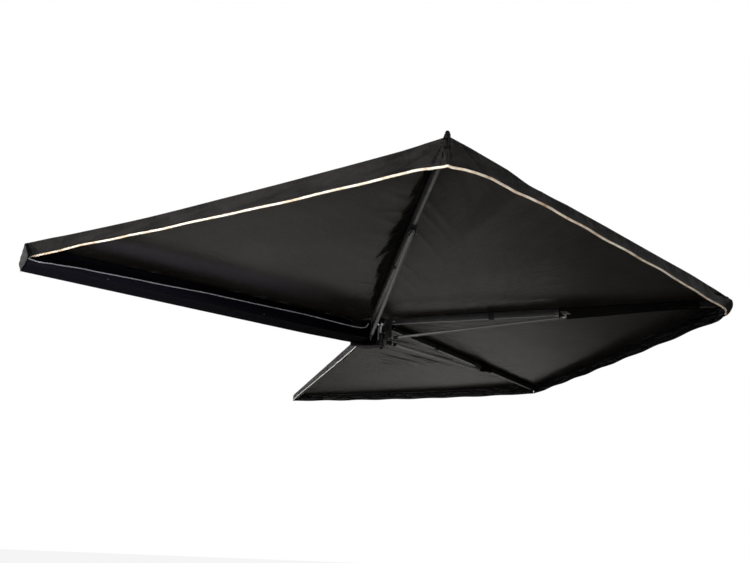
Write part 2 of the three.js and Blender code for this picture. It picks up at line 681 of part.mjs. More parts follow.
function buildBag(group) {
  const floorPlaces = bagFloorShares.map(([place]) => place);
  const under = floorPlaces.map((place) => [bagX(place), bagFloorHeight(place) - bagSheet]);
  const over = floorPlaces.map((place) => [bagX(place), bagFloorHeight(place)]).reverse();
  const floor = alongY([...over, ...under], -bagFront + bagSheet + touchGap, webBack);
  const notch = block(
    [-hubWebFar - overrun, webFront - touchGap, -bagDepth - overrun],
    [-bagNearEnd + overrun, webBack + overrun, -bagDepth / 2],
  );
  piece(group, "bag_floor", solid(floor).subtract(solid(notch)), "vinyl");

  const backStart = (hubWebFar + overrun - bagNearEnd) / bagLength;
  const backPlaces = [backStart, ...floorPlaces.slice(1)];
  const backFoot = backPlaces.map((place) => [bagX(place), bagFloorHeight(place) + touchGap]);
  const backTop = [[-railFarEnd, railTop], [bagX(backStart), railTop]];
  const back = alongY([...backFoot, ...backTop].reverse(), webBack - bagSheet, webBack);
  piece(group, "bag_back", back, "vinyl");

  const lipPlaces = bagLipShares.map(([place]) => place);
  const lipTop = lipPlaces.map((place) => [bagX(place), bagLipHeight(place)]);
  const lipFoot = floorPlaces.map((place) => [bagX(place), bagFloorHeight(place) - bagSheet]);
  const lip = alongY([...lipTop.reverse(), ...lipFoot], -bagFront, -bagFront + bagSheet);
  piece(group, "bag_front", lip, "vinyl");

  const seamY = -bagFront - bagPipingRadius - touchGap;
  const route = bagLipShares.map(([place]) => point(bagX(place), seamY, bagLipHeight(place)));
  piece(group, "bag_piping", piping(route, bagPipingRadius), "piping");

  const endFace = -railFarEnd - 2 * touchGap - railCap;
  const endFloor = bagFloorHeight(1) - bagSheet;
  const endOutline = [
    [-bagFront, endFloor], [railBack, endFloor], [railBack, railTop], [railFront, railTop],
    [-bagFront, -bagDepth * bagEndShare],
  ];
  piece(group, "bag_end", alongX(endOutline, endFace - bagSheet, endFace), "vinyl");

  const lidY = railBack + 2 * touchGap + strapThickness + lidRadius;
  const lidZ = railTop - lidBelowTop;
  const lidAt = (x) => point(x, lidY, lidZ);
  const [lidFar, lidNear] = [-railFarEnd + lidInset, -railNearEnd - lidInset];
  piece(group, "bag_lid", bar(lidRadius, lidAt(lidFar), lidAt(lidNear)), "vinyl");
  strapShares.forEach((share, i) => {
    const x = bracketPlace(share);
    const [a, b] = [x - strapWidth / 2, x + strapWidth / 2];
    const band = solid(bar(lidRadius + touchGap + strapThickness, lidAt(a), lidAt(b)));
    const hollow = solid(bar(lidRadius + touchGap, lidAt(a - overrun), lidAt(b + overrun)));
    piece(group, `lid_strap_${i + 1}`, band.subtract(hollow), "vinyl");
  });
}

// A round cord on a smooth curve through the given points.
function piping(route, radius) {
  const sides = smallSides / 2;
  const section = new THREE.Shape(
    Array.from({ length: sides }, (_, i) => {
      const angle = (2 * Math.PI * i) / sides;
      return new THREE.Vector2(radius * Math.cos(angle), radius * Math.sin(angle));
    }),
  );
  return new THREE.ExtrudeGeometry(section, {
    steps: pipingSteps * route.length,
    extrudePath: new THREE.CatmullRomCurve3(route, false, "centripetal"),
  });
}

// Hems of the panels. A hem starts beside the pin, closes in on the rafter's middle and follows it.
function hem(arm, along, side) {
  const distance = THREE.MathUtils.lerp(clothStart, reach, along);
  const gathered = Math.min(1, distance / clothGather);
  const last = arm === armCount - 1 ? flapOffset - touchGap : side * seamGap;
  return overArm(arm, distance, offsetOf(arm) * gathered + last, crown(distance));
}

// The first panel's hem on the rail.
function railHem(along) {
  const distance = THREE.MathUtils.lerp(clothStart, railFarEnd, along);
  const gathered = Math.min(1, distance / clothGather);
  return point(-distance, cornerInset * gathered, crown(distance));
}

// The cloth's height over the hub's parts, which dies out along the arms.
function crown(distance) {
  return crownHeight * (1 - THREE.MathUtils.smoothstep(distance, clothStart, clothGather));
}

// A point on a panel, u from its clockwise hem to the other and v outwards.
function onPanel(panel, u, v) {
  const before = panel === 0 ? railHem(v) : hem(panel - 1, v, 1);
  const spot = before.lerp(hem(panel, v, -1), u);
  spot.z -= hemSags[panel] * Math.sin(Math.PI * u) * v;
  return spot;
}

// The hole in the cloth that an arm's knob stands up through.
function knobHole(arm) {
  const at = (height) => point(knobDistance(arm) - rafterStart, 0, height);
  const drill = bar(knobHoleRadius, at(-overrun), at(overrun));
  return solid(drill.applyMatrix4(rafterFrame(arm)).rotateZ(radians(headingOf(arm))));
}

function canopyPanel(panel) {
  const down = point(0, 0, -clothThickness);
  const cloth = solid(sheet((u, v) => onPanel(panel, u, v), panelAcross, panelAlong, down));
  const holes = [panel - 1, panel].filter((arm) => arm >= 0).map(knobHole);
  return holes.reduce((body, hole) => body.subtract(hole), cloth);
}

// The strip of cloth that hangs in shallow folds from a panel's outer hem.
function valance(panel) {
  const [from, to] = [onPanel(panel, 0, 1), onPanel(panel, 1, 1)];
  const chord = to.sub(from).setZ(0);
  const outward = point(chord.y, -chord.x, 0).normalize();
  const start = panel === 0 ? valanceRailGap / chord.length() : 0;
  const folds = Math.round(chord.length() / foldPitch);
  const pointAt = (u, v) => {
    const spot = onPanel(panel, THREE.MathUtils.lerp(start, 1, u), 1);
    spot.z -= v * THREE.MathUtils.lerp(valanceHeights[panel], valanceHeights[panel + 1], u);
    const swing = (foldDepth * v * (1 - Math.cos(2 * Math.PI * folds * u))) / 2;
    return spot.addScaledVector(outward, clothThickness + touchGap + swing);
  };
  const inward = outward.clone().multiplyScalar(-clothThickness);
  return sheet(pointAt, folds * foldSteps, valanceAlong, inward);
}

function buildCanopy(group) {
  for (let panel = 0; panel < armCount; panel++) {
    piece(group, `canopy_panel_${panel + 1}`, canopyPanel(panel), "cloth");
    piece(group, `valance_${panel + 1}`, valance(panel), "cloth");
  }
  const patchLow = crownHeight + touchGap;
  const disc = bar(patchRadius, point(0, 0, patchLow), point(0, 0, patchLow + clothThickness));
  piece(group, "hub_patch", disc, "cloth");
}

// The flap that hangs along the outer side of the last arm.
function buildFlap(group) {
  const frame = rafterFrame(armCount - 1);
  const flap = block(
    [0, flapOffset, -flapHeight],
    [reach - rafterStart, flapOffset + clothThickness, 0],
  );
  piece(group, "end_flap", flap.applyMatrix4(frame), "cloth");
}

const awning = new THREE.Group();
const base = new THREE.Group();
awning.add(base);
buildRail(base);
buildHub(base);
buildBrackets(base);
buildBag(base);
buildCanopy(base);
let carrier = base;
for (let arm = 0; arm < armCount; arm++) {
  const group = new THREE.Group();
  group.rotation.z = radians(arm === 0 ? headingOf(0) : stepDegrees[arm]);
  carrier.add(group);
  buildArm(arm, group);
  carrier = group;
}
buildFlap(carrier);

const footMiddle = legFront + bracketPlate + (bracketFoot - bracketPlate) / 2;
base.position.set(-bracketPlace(bracketShares[1]), -footMiddle, -footBottom);

export default awning;
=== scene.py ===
"""The looks of a fan awning for a vehicle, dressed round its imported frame.

Lengths are in metres, in the part's own frame: the rail runs along X with the pin at its +X end, +Y points at the
vehicle and +Z is up. A hub point is measured from the pin's axis, with height zero on the cloth where it lies on
the arms.
"""

import json
import logging
import math
from dataclasses import dataclass
from enum import Enum
from typing import Callable, Optional, Sequence, Union

import bmesh
import bpy
from mathutils import Matrix, Vector, noise


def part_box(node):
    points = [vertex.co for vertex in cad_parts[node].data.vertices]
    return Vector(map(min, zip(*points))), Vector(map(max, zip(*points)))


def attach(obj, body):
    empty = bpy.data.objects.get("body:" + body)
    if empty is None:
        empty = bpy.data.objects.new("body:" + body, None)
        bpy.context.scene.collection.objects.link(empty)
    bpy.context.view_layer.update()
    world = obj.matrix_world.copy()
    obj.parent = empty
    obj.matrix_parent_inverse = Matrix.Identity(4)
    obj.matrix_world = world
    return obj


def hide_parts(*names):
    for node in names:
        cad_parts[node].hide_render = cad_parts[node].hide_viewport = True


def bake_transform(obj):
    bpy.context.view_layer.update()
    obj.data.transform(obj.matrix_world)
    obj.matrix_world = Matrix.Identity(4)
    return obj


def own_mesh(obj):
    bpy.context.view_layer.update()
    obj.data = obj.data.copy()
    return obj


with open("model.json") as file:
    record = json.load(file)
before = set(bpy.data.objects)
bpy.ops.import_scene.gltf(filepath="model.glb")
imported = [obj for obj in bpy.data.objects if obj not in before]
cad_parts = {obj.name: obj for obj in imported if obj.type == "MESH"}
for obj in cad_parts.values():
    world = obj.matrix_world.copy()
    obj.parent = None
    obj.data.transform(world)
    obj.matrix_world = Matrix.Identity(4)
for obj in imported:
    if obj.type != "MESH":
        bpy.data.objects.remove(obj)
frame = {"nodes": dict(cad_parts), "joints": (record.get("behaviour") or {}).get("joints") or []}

LOG = logging.getLogger("awning")
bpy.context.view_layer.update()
UP = Vector((0, 0, 1))
TINY = 1e-6
RIDGE_SHARPNESS = 2.6

Place = Callable[[float, float], Vector]
Span = tuple[float, float]
Triple = tuple[float, float, float]
Table = tuple[Span, ...]
Number = Union[float, "Socket"]


def smooth(low: float, high: float, value: float) -> float:
    """Rises from 0 at low to 1 at high with flat ends."""
    share = min(1.0, max(0.0, (value - low) / (high - low)))
    return share * share * (3 - 2 * share)


def lerp(first: float, last: float, share: float) -> float:
    """Mixes two numbers."""
    return first + (last - first) * share


def waver(x: float, y: float, z: float) -> float:
    """A smooth random height of -1 to 1 at a place."""
    return noise.noise(Vector((x, y, z)))


def ridge(x: float, y: float, z: float) -> float:
    """A narrow crest of 0 to 1 where the random height passes zero."""
    return (1 - min(1.0, abs(waver(x, y, z)) * RIDGE_SHARPNESS)) ** 2


def tabled(table: Table, place: float) -> float:
    """Reads a smooth line through tabled pairs."""
    for (a0, b0), (a1, b1) in zip(table, table[1:]):
        if place <= a1:
            return lerp(b0, b1, 0.5 * (place - a0) / (a1 - a0) + 0.5 * smooth(a0, a1, place))
    return table[-1][1]


def between(value: float, rise: Span, fall: Span) -> float:
    """Rises smoothly over one span and falls over another."""
    return smooth(*rise, value) * (1 - smooth(*fall, value))


@dataclass(frozen=True)
class Wave:
    """A random wave over a surface: its height, its cycles along both directions and its seed."""

    height: float
    rates: Span
    seed: float = 0.0

    def at(self, first: float, last: float, seed: float = 0.0) -> float:
        """Its height at a place, which may be below zero."""
        return self.height * waver(first * self.rates[0], last * self.rates[1], seed + self.seed)

    def crest(self, first: float, last: float, seed: float = 0.0) -> float:
        """Its height at a place, where only narrow crests stand up."""
        return self.height * ridge(first * self.rates[0], last * self.rates[1], seed + self.seed)


# Shader maths


@dataclass(frozen=True)
class Pattern:
    """A noise in a material, of about 0 to 1, which rates along each axis draw out into creases.

    The scale is in cycles a metre, and the turn about the third axis in radians. The span holds the values that
    the spread form runs between.
    """

    scale: float
    detail: float = 3.0
    roughness: float = 0.55
    distortion: float = 0.0
    rates: Optional[Triple] = None
    turn: float = 0.0
    span: Span = (0.3, 0.7)


class Socket:
    """A node's output, on which arithmetic adds Math nodes."""

    def __init__(self, shader: "Shader", output: bpy.types.NodeSocket) -> None:
        """Keeps the shader and the output."""
        self.shader = shader
        self.output = output

    def _with(self, operation: str, *values: Number) -> "Socket":
        """Adds one Math node on the values."""
        return self.shader.node("ShaderNodeMath", {"operation": operation}, dict(enumerate(values)))

    def __add__(self, other: Number) -> "Socket":
        """Sum."""
        return self._with("ADD", self, other)

    def __sub__(self, other: Number) -> "Socket":
        """Difference."""
        return self._with("SUBTRACT", self, other)

    def __rsub__(self, other: Number) -> "Socket":
        """Difference, the other way round."""
        return self._with("SUBTRACT", other, self)

    def __mul__(self, other: Number) -> "Socket":
        """Product."""
        return self._with("MULTIPLY", self, other)

    __radd__ = __add__
    __rmul__ = __mul__

    def absolute(self) -> "Socket":
        """The value without its sign."""
        return self._with("ABSOLUTE", self)

    def below(self, limit: Number) -> "Socket":
        """1 where the value is under the limit, 0 elsewhere."""
        return self._with("LESS_THAN", self, limit)

    def sine(self) -> "Socket":
        """Sine of the value."""
        return self._with("SINE", self)

    def clamped(self, low: float, high: float) -> "Socket":
        """Runs smoothly from 0 at low to 1 at high."""
        values = {"Value": self, "From Min": low, "From Max": high}
        return self.shader.node("ShaderNodeMapRange", {"interpolation_type": "SMOOTHSTEP"}, values)


class Shader:
    """The node tree of one material."""

    def __init__(self, name: str) -> None:
        """Makes a material with one Principled shader.

        Args:
            name: The material's name.
        """
        self.material = bpy.data.materials.new(name)
        self.material.use_nodes = True
        self.tree = self.material.node_tree
        self.surface = self.tree.nodes["Principled BSDF"]

    def node(self, kind: str, settings: Optional[dict] = None, values: Optional[dict] = None,
             output: Union[int, str] = 0) -> Socket:
        """Adds a node.

        Args:
            kind: The node's type.
            settings: Its properties, set first.
            values: Values or sockets for its inputs, by name or number.
            output: Which output to give back.

        Returns:
            That output.
        """
        made = self.tree.nodes.new(kind)
        for key, value in (settings or {}).items():
            setattr(made, key, value)
        for key, value in (values or {}).items():
            if isinstance(value, Socket):
                self.tree.links.new(value.output, made.inputs[key])
            else:
                made.inputs[key].default_value = value
        return Socket(self, made.outputs[output])

    def noise(self, vector: Socket, pattern: Pattern) -> Socket:
        """A pattern's noise."""
        if pattern.rates:
            mapping = {"Vector": vector, "Scale": pattern.rates, "Rotation": (0, 0, pattern.turn)}
            vector = self.node("ShaderNodeMapping", {}, mapping)
        values = {"Vector": vector, "Scale": pattern.scale, "Detail": pattern.detail, "Roughness": pattern.roughness,
                  "Distortion": pattern.distortion}
        return self.node("ShaderNodeTexNoise", {}, values, "Fac")

    def spread(self, vector: Socket, pattern: Pattern) -> Socket:
        """A pattern's noise, spread smoothly from 0 to 1 over its span."""
        return self.noise(vector, pattern).clamped(*pattern.span)

    def mixed(self, share: Number, first: Union[tuple, Socket], last: Union[tuple, Socket]) -> Socket:
        """A colour between two colours."""
        ends = [value if isinstance(value, Socket) else (*value, 1) for value in (first, last)]
        return self.node("ShaderNodeMix", {"data_type": "RGBA"}, {0: share, 6: ends[0], 7: ends[1]}, 2)

    def split(self, vector: Socket) -> tuple[Socket, Socket, Socket]:
        """The three parts of a vector."""
        parts = self.node("ShaderNodeSeparateXYZ", {}, {0: vector}).output.node
        return tuple(Socket(self, output) for output in parts.outputs)

    def coordinates(self, kind: str) -> Socket:
        """Object or UV coordinates."""
        return self.node("ShaderNodeTexCoord", {}, {}, kind)

    def bump(self, height: Socket, distance: float, strength: float = 1.0, normal: Optional[Socket] = None) -> Socket:
        """A normal from a height of 0 to 1 that stands for a distance in metres."""
        values = {"Height": height, "Distance": distance, "Strength": strength}
        if normal:
            values["Normal"] = normal
        return self.node("ShaderNodeBump", {}, values)

    def feed(self, **links: Socket) -> None:
        """Links sockets to the surface's inputs, with underscores for spaces."""
        for name, value in links.items():
            self.tree.links.new(value.output, self.surface.inputs[name.replace("_", " ")])

    def fix(self, **values: Union[float, tuple]) -> None:
        """Sets the surface's inputs that are the same all over."""
        for name, value in values.items():
            self.surface.inputs[name.replace("_", " ")].default_value = value


# Finishes


@dataclass(frozen=True)
class Finish:
    """A surface: its colours and how rough it is."""

    name: str
    slot: str
    dark: Triple
    pale: Triple
    roughness: Span = (0.45, 0.6)
    metallic: float = 0.0
    specular: float = 0.5
    tint: Triple = (1.0, 1.0, 1.0)
    blotches: Pattern = Pattern(9.0, 4.0)
    grain: Pattern = Pattern(900.0, 2.0)
    grain_depth: float = 0.00006

    def material(self) -> bpy.types.Material:
        """The finish's material, made once."""
        title = f"{self.name}_finish"
        known = bpy.data.materials.get(title)
        if known:
            return known
        shader = Shader(title)
        shader.fix(Metallic=self.metallic, Specular_IOR_Level=self.specular, Specular_Tint=(*self.tint, 1))
        self.dress(shader)
        return shader.material

    def dress(self, shader: Shader) -> None:
        """Fills the shader. A moulded or painted surface has a fine grain and soft blotches."""
        place = shader.coordinates("Object")
        blotch = shader.noise(place, self.blotches)
        shader.feed(
            Base_Color=shader.mixed(blotch.clamped(*self.blotches.span), self.dark, self.pale),
            Roughness=lerp_socket(blotch, *self.roughness),
            Normal=shader.bump(shader.noise(place, self.grain), self.grain_depth),
        )


def lerp_socket(share: Socket, low: float, high: float) -> Socket:
    """A number between two numbers by a socket."""
    return share * (high - low) + low


@dataclass(frozen=True)
class Cloth(Finish):
    """Coated woven cloth on a UV map in metres, with crinkles and a ripstop grid."""

    weave: float = 0.0011
    weave_height: float = 0.5
    ripstop: float = 0.0075
    thread_width: float = 0.16
    thread_height: float = 0.7
    thread_tone: float = 0.08
    long_creases: Pattern = Pattern(1.0, 5.0, 0.6, 0.9, (9.0, 2.6, 1.0), 0.5)
    crest_width: float = 0.09
    crest_height: float = 0.35
    fine_creases: Pattern = Pattern(1.0, 4.0, 0.6, 1.2, (24.0, 60.0, 1.0), -0.7)
    crinkle: float = 0.0016
    crinkle_strength: float = 0.55
    crinkle_gloss: float = 0.08
    blotches: Pattern = Pattern(2.3, 5.0, span=(0.35, 0.68))
    # The folds pattern and its tone paint lighter and darker streaks: painted shade and highlights along folds.
    folds: Pattern = Pattern(1.0, 6.0, 0.62, 0.9, (4.0, 17.0, 1.0), 0.3, (0.36, 0.64))
    fold_shade_tone: float = 0.0
    dust: Pattern = Pattern(38.0, 4.0, 0.65, span=(0.55, 0.85))
    dust_tone: float = 0.2
    gloss: Pattern = Pattern(6.0, 4.0)
    sheen: float = 0.12
    sheen_roughness: float = 0.45
    # The band fields paint a paler strip beside the rail as painted light.
    band: tuple[float, ...] = ()
    band_edge: float = 0.13
    band_rise: Span = (0.14, 0.36)
    band_fall: Span = (0.40, 0.56)
    band_end: Span = (0.1, 1.0)

    def dress(self, shader: Shader) -> None:
        """Weave, ripstop threads, crinkles and blotches."""
        uv = shader.coordinates("UV")
        across, along, _ = shader.split(uv)
        rate = 2 * math.pi / self.weave
        weave = (across * rate).sine() * (along * rate).sine()
        grid = [((side * (1 / self.ripstop)).sine()).absolute().below(self.thread_width) for side in (across, along)]
        threads = grid[0] + grid[1]
        place = shader.coordinates("Object")
        crests = 1 - (shader.noise(uv, self.long_creases) - 0.5).absolute().clamped(0.0, self.crest_width)
        fine = shader.noise(uv, self.fine_creases)
        crinkles = shader.bump(crests * self.crest_height + fine, self.crinkle, self.crinkle_strength)
        # Painted shade and highlights: the folds pattern lightens and darkens streaks as lit and shaded folds would.
        folds = shader.spread(uv, self.folds)
        tone = shader.spread(place, self.blotches) * (1 - self.fold_shade_tone) + folds * self.fold_shade_tone
        colour = self.painted_light_band(shader, place, shader.mixed(tone, self.dark, self.pale))
        paler_share = threads * self.thread_tone + shader.spread(place, self.dust) * self.dust_tone
        relief = weave * self.weave_height + threads * self.thread_height
        gloss = lerp_socket(shader.noise(place, self.gloss), *self.roughness)
        shader.feed(
            Base_Color=shader.mixed(paler_share, colour, self.pale),
            Roughness=gloss + fine * self.crinkle_gloss,
            Normal=shader.bump(relief, self.grain_depth, 1.0, crinkles),
        )
        shader.fix(Sheen_Weight=self.sheen, Sheen_Roughness=self.sheen_roughness)

    def painted_light_band(self, shader: Shader, place: Socket, colour: Socket) -> Socket:
        """The cloth's colour with a paler band beside the rail, which fades towards the pin: painted light on the
        canopy's underside by the rail.
        """
        if not self.band:
            return colour
        x, y, _ = shader.split(place)
        away = (frame["joints"][0]["pos_m"][1] + self.band_edge) - y
        share = away.clamped(*self.band_rise) * (1 - away.clamped(*self.band_fall)) * (1 - x.clamped(*self.band_end))
        return shader.mixed(share, colour, self.band)


@dataclass(frozen=True)
class Vinyl(Finish):
    """Heavy coated cloth whose scrim shows through, with soft dents."""

    scrim: float = 0.0032
    scrim_strength: float = 0.8
    dents: Pattern = Pattern(1.0, 4.0, 0.55, 0.6, (5.0, 12.0, 1.0))
    dent_depth: float = 0.004
    dent_strength: float = 0.7
    # The lit end span and tone paint the bag paler towards its far end: painted light.
    lit_end_span: Span = (-1.3, 1.2)
    lit_end_tone: float = 0.8
    scuffs: Pattern = Pattern(1.0, 5.0, 0.7, 0.0, (6.0, 60.0, 60.0), span=(0.52, 0.8))
    scuff_tone: float = 0.2

    def dress(self, shader: Shader) -> None:
        """Scrim, dents, scuffs, painted light towards the far end and a slight gloss."""
        uv = shader.coordinates("UV")
        across, along, _ = shader.split(uv)
        rate = 2 * math.pi / self.scrim
        scrim = (across * rate).sine().absolute() * (along * rate).sine().absolute()
        place = shader.coordinates("Object")
        dents = shader.bump(shader.noise(uv, self.dents), self.dent_depth, self.dent_strength)
        scuffs = shader.noise(place, self.scuffs)
        # Painted light: the bag grows paler towards its far end, as if lit more there; scuffs pale it at random.
        run, _, _ = shader.split(place)
        paler_share = (1 - run.clamped(*self.lit_end_span)) * self.lit_end_tone + scuffs.clamped(*self.scuffs.span) * self.scuff_tone
        shader.feed(
            Base_Color=shader.mixed(paler_share, self.dark, self.pale),
            Roughness=lerp_socket(scuffs, *self.roughness),
            Normal=shader.bump(scrim, self.grain_depth, self.scrim_strength, dents),
        )


@dataclass(frozen=True)
class Tube(Finish):
    """Anodised tube with fine marks along its length."""

    marks: Pattern = Pattern(1.0, 2.0, 0.55, 0.0, (140.0, 140.0, 420.0))
    mark_gloss: float = 0.06
    mark_strength: float = 0.6
    wear: Pattern = Pattern(17.0, 6.0, 0.7, span=(0.55, 0.78))

    def dress(self, shader: Shader) -> None:
        """Draw marks, wear and blotches."""
        place = shader.coordinates("Object")
        marks = shader.noise(place, self.marks)
        wear = shader.noise(place, self.wear)
        shader.feed(
            Base_Color=shader.mixed(wear.clamped(*self.wear.span), self.dark, self.pale),
            Roughness=lerp_socket(wear, *self.roughness) + marks * self.mark_gloss,
            Normal=shader.bump(marks, self.grain_depth, self.mark_strength),
        )


@dataclass(frozen=True)
class Ribbed(Tube):
    """Black tube with a pale strip along its underside, a painted highlight, on a UV map of its section in metres."""

    rib: float = 0.0068
    foot: float = -0.0528
    bare_and_highlight: Triple = (0.085, 0.083, 0.080)
    paint: Pattern = Pattern(23.0, 5.0, 0.7, span=(0.4, 0.8))
    patch_span: Span = (0.25, 0.75)
    patch_shares: Span = (0.6, 1.0)

    def dress(self, shader: Shader) -> None:
        """Draw marks, with the painted highlight along the underside."""
        super().dress(shader)
        across, height, _ = shader.split(shader.coordinates("UV"))
        wear = shader.noise(shader.coordinates("Object"), self.paint)
        paint = shader.mixed(wear.clamped(*self.paint.span), self.dark, self.pale)
        # Painted highlight: a pale strip along the rafter's underside, patchy by noise.
        rib = across.absolute().below(self.rib) * height.below(self.foot)
        bare_and_highlight = rib * lerp_socket(wear.clamped(*self.patch_span), *self.patch_shares)
        shader.feed(Base_Color=shader.mixed(bare_and_highlight, paint, self.bare_and_highlight))


@dataclass(frozen=True)
class Cord(Finish):
    """A bound edge or webbing, with ribs along its UV map."""

    rib: float = 0.0024
    rib_shares: Span = (0.6, 0.4)
    soil: Pattern = Pattern(14.0, 5.0, 0.65, span=(0.38, 0.72))
    fibres: Pattern = Pattern(700.0, 2.0)

    def dress(self, shader: Shader) -> None:
        """Ribs, soiling and fibres."""
        across, along, _ = shader.split(shader.coordinates("UV"))
        rate = 2 * math.pi / self.rib
        ribs = (across * rate).sine() * self.rib_shares[0] + (along * rate).sine() * self.rib_shares[1]
        place = shader.coordinates("Object")
        soil = shader.noise(place, self.soil)
        shader.feed(
            Base_Color=shader.mixed(soil.clamped(*self.soil.span), self.pale, self.dark),
            Roughness=lerp_socket(soil, *self.roughness),
            Normal=shader.bump(ribs + shader.noise(place, self.fibres), self.grain_depth),
        )


@dataclass(frozen=True)
class Eyed(Finish):
    """Painted steel whose hinge eye round the pin is bare between two heights."""

    bare_and_highlight: Triple = (0.30, 0.30, 0.31)
    eye: float = 0.0197
    heights: Span = (-0.104, -0.022)
    wear: Pattern = Pattern(60.0, 4.0)
    patch_span: Span = (0.2, 0.8)
    patch_shares: Span = (0.6, 1.0)

    def dress(self, shader: Shader) -> None:
        """Paint with a fine grain, worn off the eye."""
        pin = frame["joints"][0]["pos_m"]
        place = shader.coordinates("Object")
        east, north, up = (part - middle for part, middle in zip(shader.split(place), pin))
        bare_and_highlight = (east * east + north * north).below(self.eye * self.eye)
        bare_and_highlight = bare_and_highlight * up.below(self.heights[1]) * (1 - up.below(self.heights[0]))
        wear = shader.noise(place, self.wear)
        paint = shader.mixed(wear.clamped(*self.wear.span), self.dark, self.pale)
        rubbed = bare_and_highlight * lerp_socket(wear.clamped(*self.patch_span), *self.patch_shares)
        shader.feed(
            Base_Color=shader.mixed(rubbed, paint, self.bare_and_highlight),
            Roughness=lerp_socket(wear, *self.roughness),
            Normal=shader.bump(shader.noise(place, self.grain), self.grain_depth),
        )


class Finishes(Enum):
    """Every finish on the awning."""

    # The canopy's band is painted light: a paler strip of its underside beside the rail.
    CANOPY = Cloth("canopy_cloth", "canopy_cloth", (0.0066, 0.0060, 0.0051), (0.0112, 0.0100, 0.0082), (0.27, 0.36),
                   specular=0.12, tint=(1.0, 0.93, 0.83), sheen=0.0, band=(0.0265, 0.0245, 0.0285))
    VALANCE = Cloth("valance_cloth", "canopy_cloth", (0.0100, 0.0094, 0.0093), (0.0245, 0.0228, 0.0224), (0.42, 0.55),
                    specular=0.02, crinkle=0.004, fold_shade_tone=0.55, sheen=0.0)
    # Painted shade: a near-black copy of the canopy cloth for the valances' shaded inner faces.
    SHADED_LINING = Cloth("lining_cloth", "canopy_cloth", (0.0012, 0.0011, 0.0012), (0.0030, 0.0027, 0.0028), (0.26, 0.36),
                   specular=0.09, crinkle=0.003, sheen=0.0)
    # Painted light: a much paler copy of the canopy cloth for the end flap, which lies in shade.
    LIT_FLAP = Cloth("flap_cloth", "canopy_cloth", (0.018, 0.017, 0.017), (0.085, 0.082, 0.082), (0.42, 0.55),
                 specular=0.05, crinkle=0.006, fold_shade_tone=0.8, sheen=0.0)
    # Painted shade: a near-black copy of the canopy cloth, for cloth that lies in shade beside the rafters.
    SHADED_CLOTH = Cloth("sleeve_cloth", "canopy_cloth", (0.0016, 0.0014, 0.0014), (0.0036, 0.0032, 0.0030), (0.6, 0.75),
                   specular=0.01, sheen=0.0)
    BAG = Vinyl("bag_vinyl", "bag_vinyl", (0.0004, 0.0003, 0.0008), (0.0066, 0.0062, 0.0098), (0.5, 0.65),
                specular=0.004, grain_depth=0.00012)
    # Painted light: a much paler copy of the bag vinyl for the far end, lit from the left.
    LIT_BAG_END = Cloth("bag_end_cloth", "bag_vinyl", (0.022, 0.021, 0.022), (0.060, 0.058, 0.060), (0.5, 0.65),
                    specular=0.1, crinkle=0.006, fold_shade_tone=0.6, sheen=0.0)
    PIPING = Cord("piping", "piping", (0.50, 0.33, 0.20), (0.92, 0.82, 0.68), (0.5, 0.65), specular=0.3)
    # Painted light: a paler copy of the piping for the end flap, whose piping lies in shade.
    LIT_PIPING = Cord("flap_piping", "piping", (0.72, 0.68, 0.63), (1.0, 0.98, 0.95), (0.5, 0.65), specular=0.3)
    BAG_PIPING = Cord("bag_piping", "piping", (0.09, 0.09, 0.10), (0.17, 0.17, 0.19), (0.45, 0.6), specular=0.3)
    WEBBING = Cord("webbing", "bag_vinyl", (0.003, 0.003, 0.003), (0.007, 0.007, 0.007), (0.6, 0.75), specular=0.01)
    TUBE = Tube("arm_tube", "arm_tube", (0.036, 0.035, 0.034), (0.062, 0.060, 0.058), (0.28, 0.4), 0.4)
    RAFTER = Ribbed("rafter_tube", "arm_tube", (0.010, 0.0098, 0.0098), (0.020, 0.0195, 0.0195), (0.3, 0.42), 0.2,
                    specular=0.25)
    BRACE = Tube("brace_tube", "arm_tube", (0.072, 0.071, 0.068), (0.11, 0.108, 0.104), (0.32, 0.45), 0.3)
    # Painted light: a paler copy of the brace tube, so that the third brace reads lit.
    LIT_BRACE = Tube("pale_brace_tube", "arm_tube", (0.20, 0.198, 0.19), (0.30, 0.295, 0.285), (0.4, 0.5), 0.2)
    RAIL = Tube("rail_aluminium", "rail_aluminium", (0.008, 0.008, 0.009), (0.016, 0.016, 0.017), (0.34, 0.48), 0.0,
                specular=0.03)
    STEEL = Finish("black_steel", "black_steel", (0.0040, 0.0040, 0.0045), (0.0085, 0.0085, 0.0090), (0.4, 0.55), 0.0,
                   specular=0.03)
    KNUCKLE = Eyed("knuckle_steel", "black_steel", (0.0045, 0.0045, 0.0050), (0.0100, 0.0100, 0.0105), (0.25, 0.38),
                   specular=0.12)
    ZINC = Finish("zinc_steel", "zinc_steel", (0.38, 0.39, 0.40), (0.52, 0.53, 0.54), (0.22, 0.36), 1.0,
                  grain=Pattern(420.0, 2.0))
    # Painted glint: a near-white, non-metal copy of the zinc for one screw cap.
    GLINT_CAP = Finish("pale_cap", "zinc_steel", (0.78, 0.78, 0.79), (0.9, 0.9, 0.9), (0.3, 0.4))
    PLASTIC = Finish("black_plastic", "black_plastic", (0.0030, 0.0030, 0.0030), (0.006, 0.006, 0.006), (0.5, 0.65),
                     specular=0.03)
    THREAD = Cord("thread", "canopy_cloth", (0.012, 0.0115, 0.011), (0.03, 0.028, 0.026), (0.6, 0.7), specular=0.2,
                  rib=0.0009)


# Meshes


def soften(bm: bmesh.types.BMesh, edges: Sequence[bmesh.types.BMEdge], rim: float, clamp: bool = False) -> None:
    """Bevels edges in two rounded steps, which stop short of each other if clamped."""
    bmesh.ops.bevel(bm, geom=edges, offset=rim, segments=2, profile=0.5, affect="EDGES", material=-1,
                    clamp_overlap=clamp)


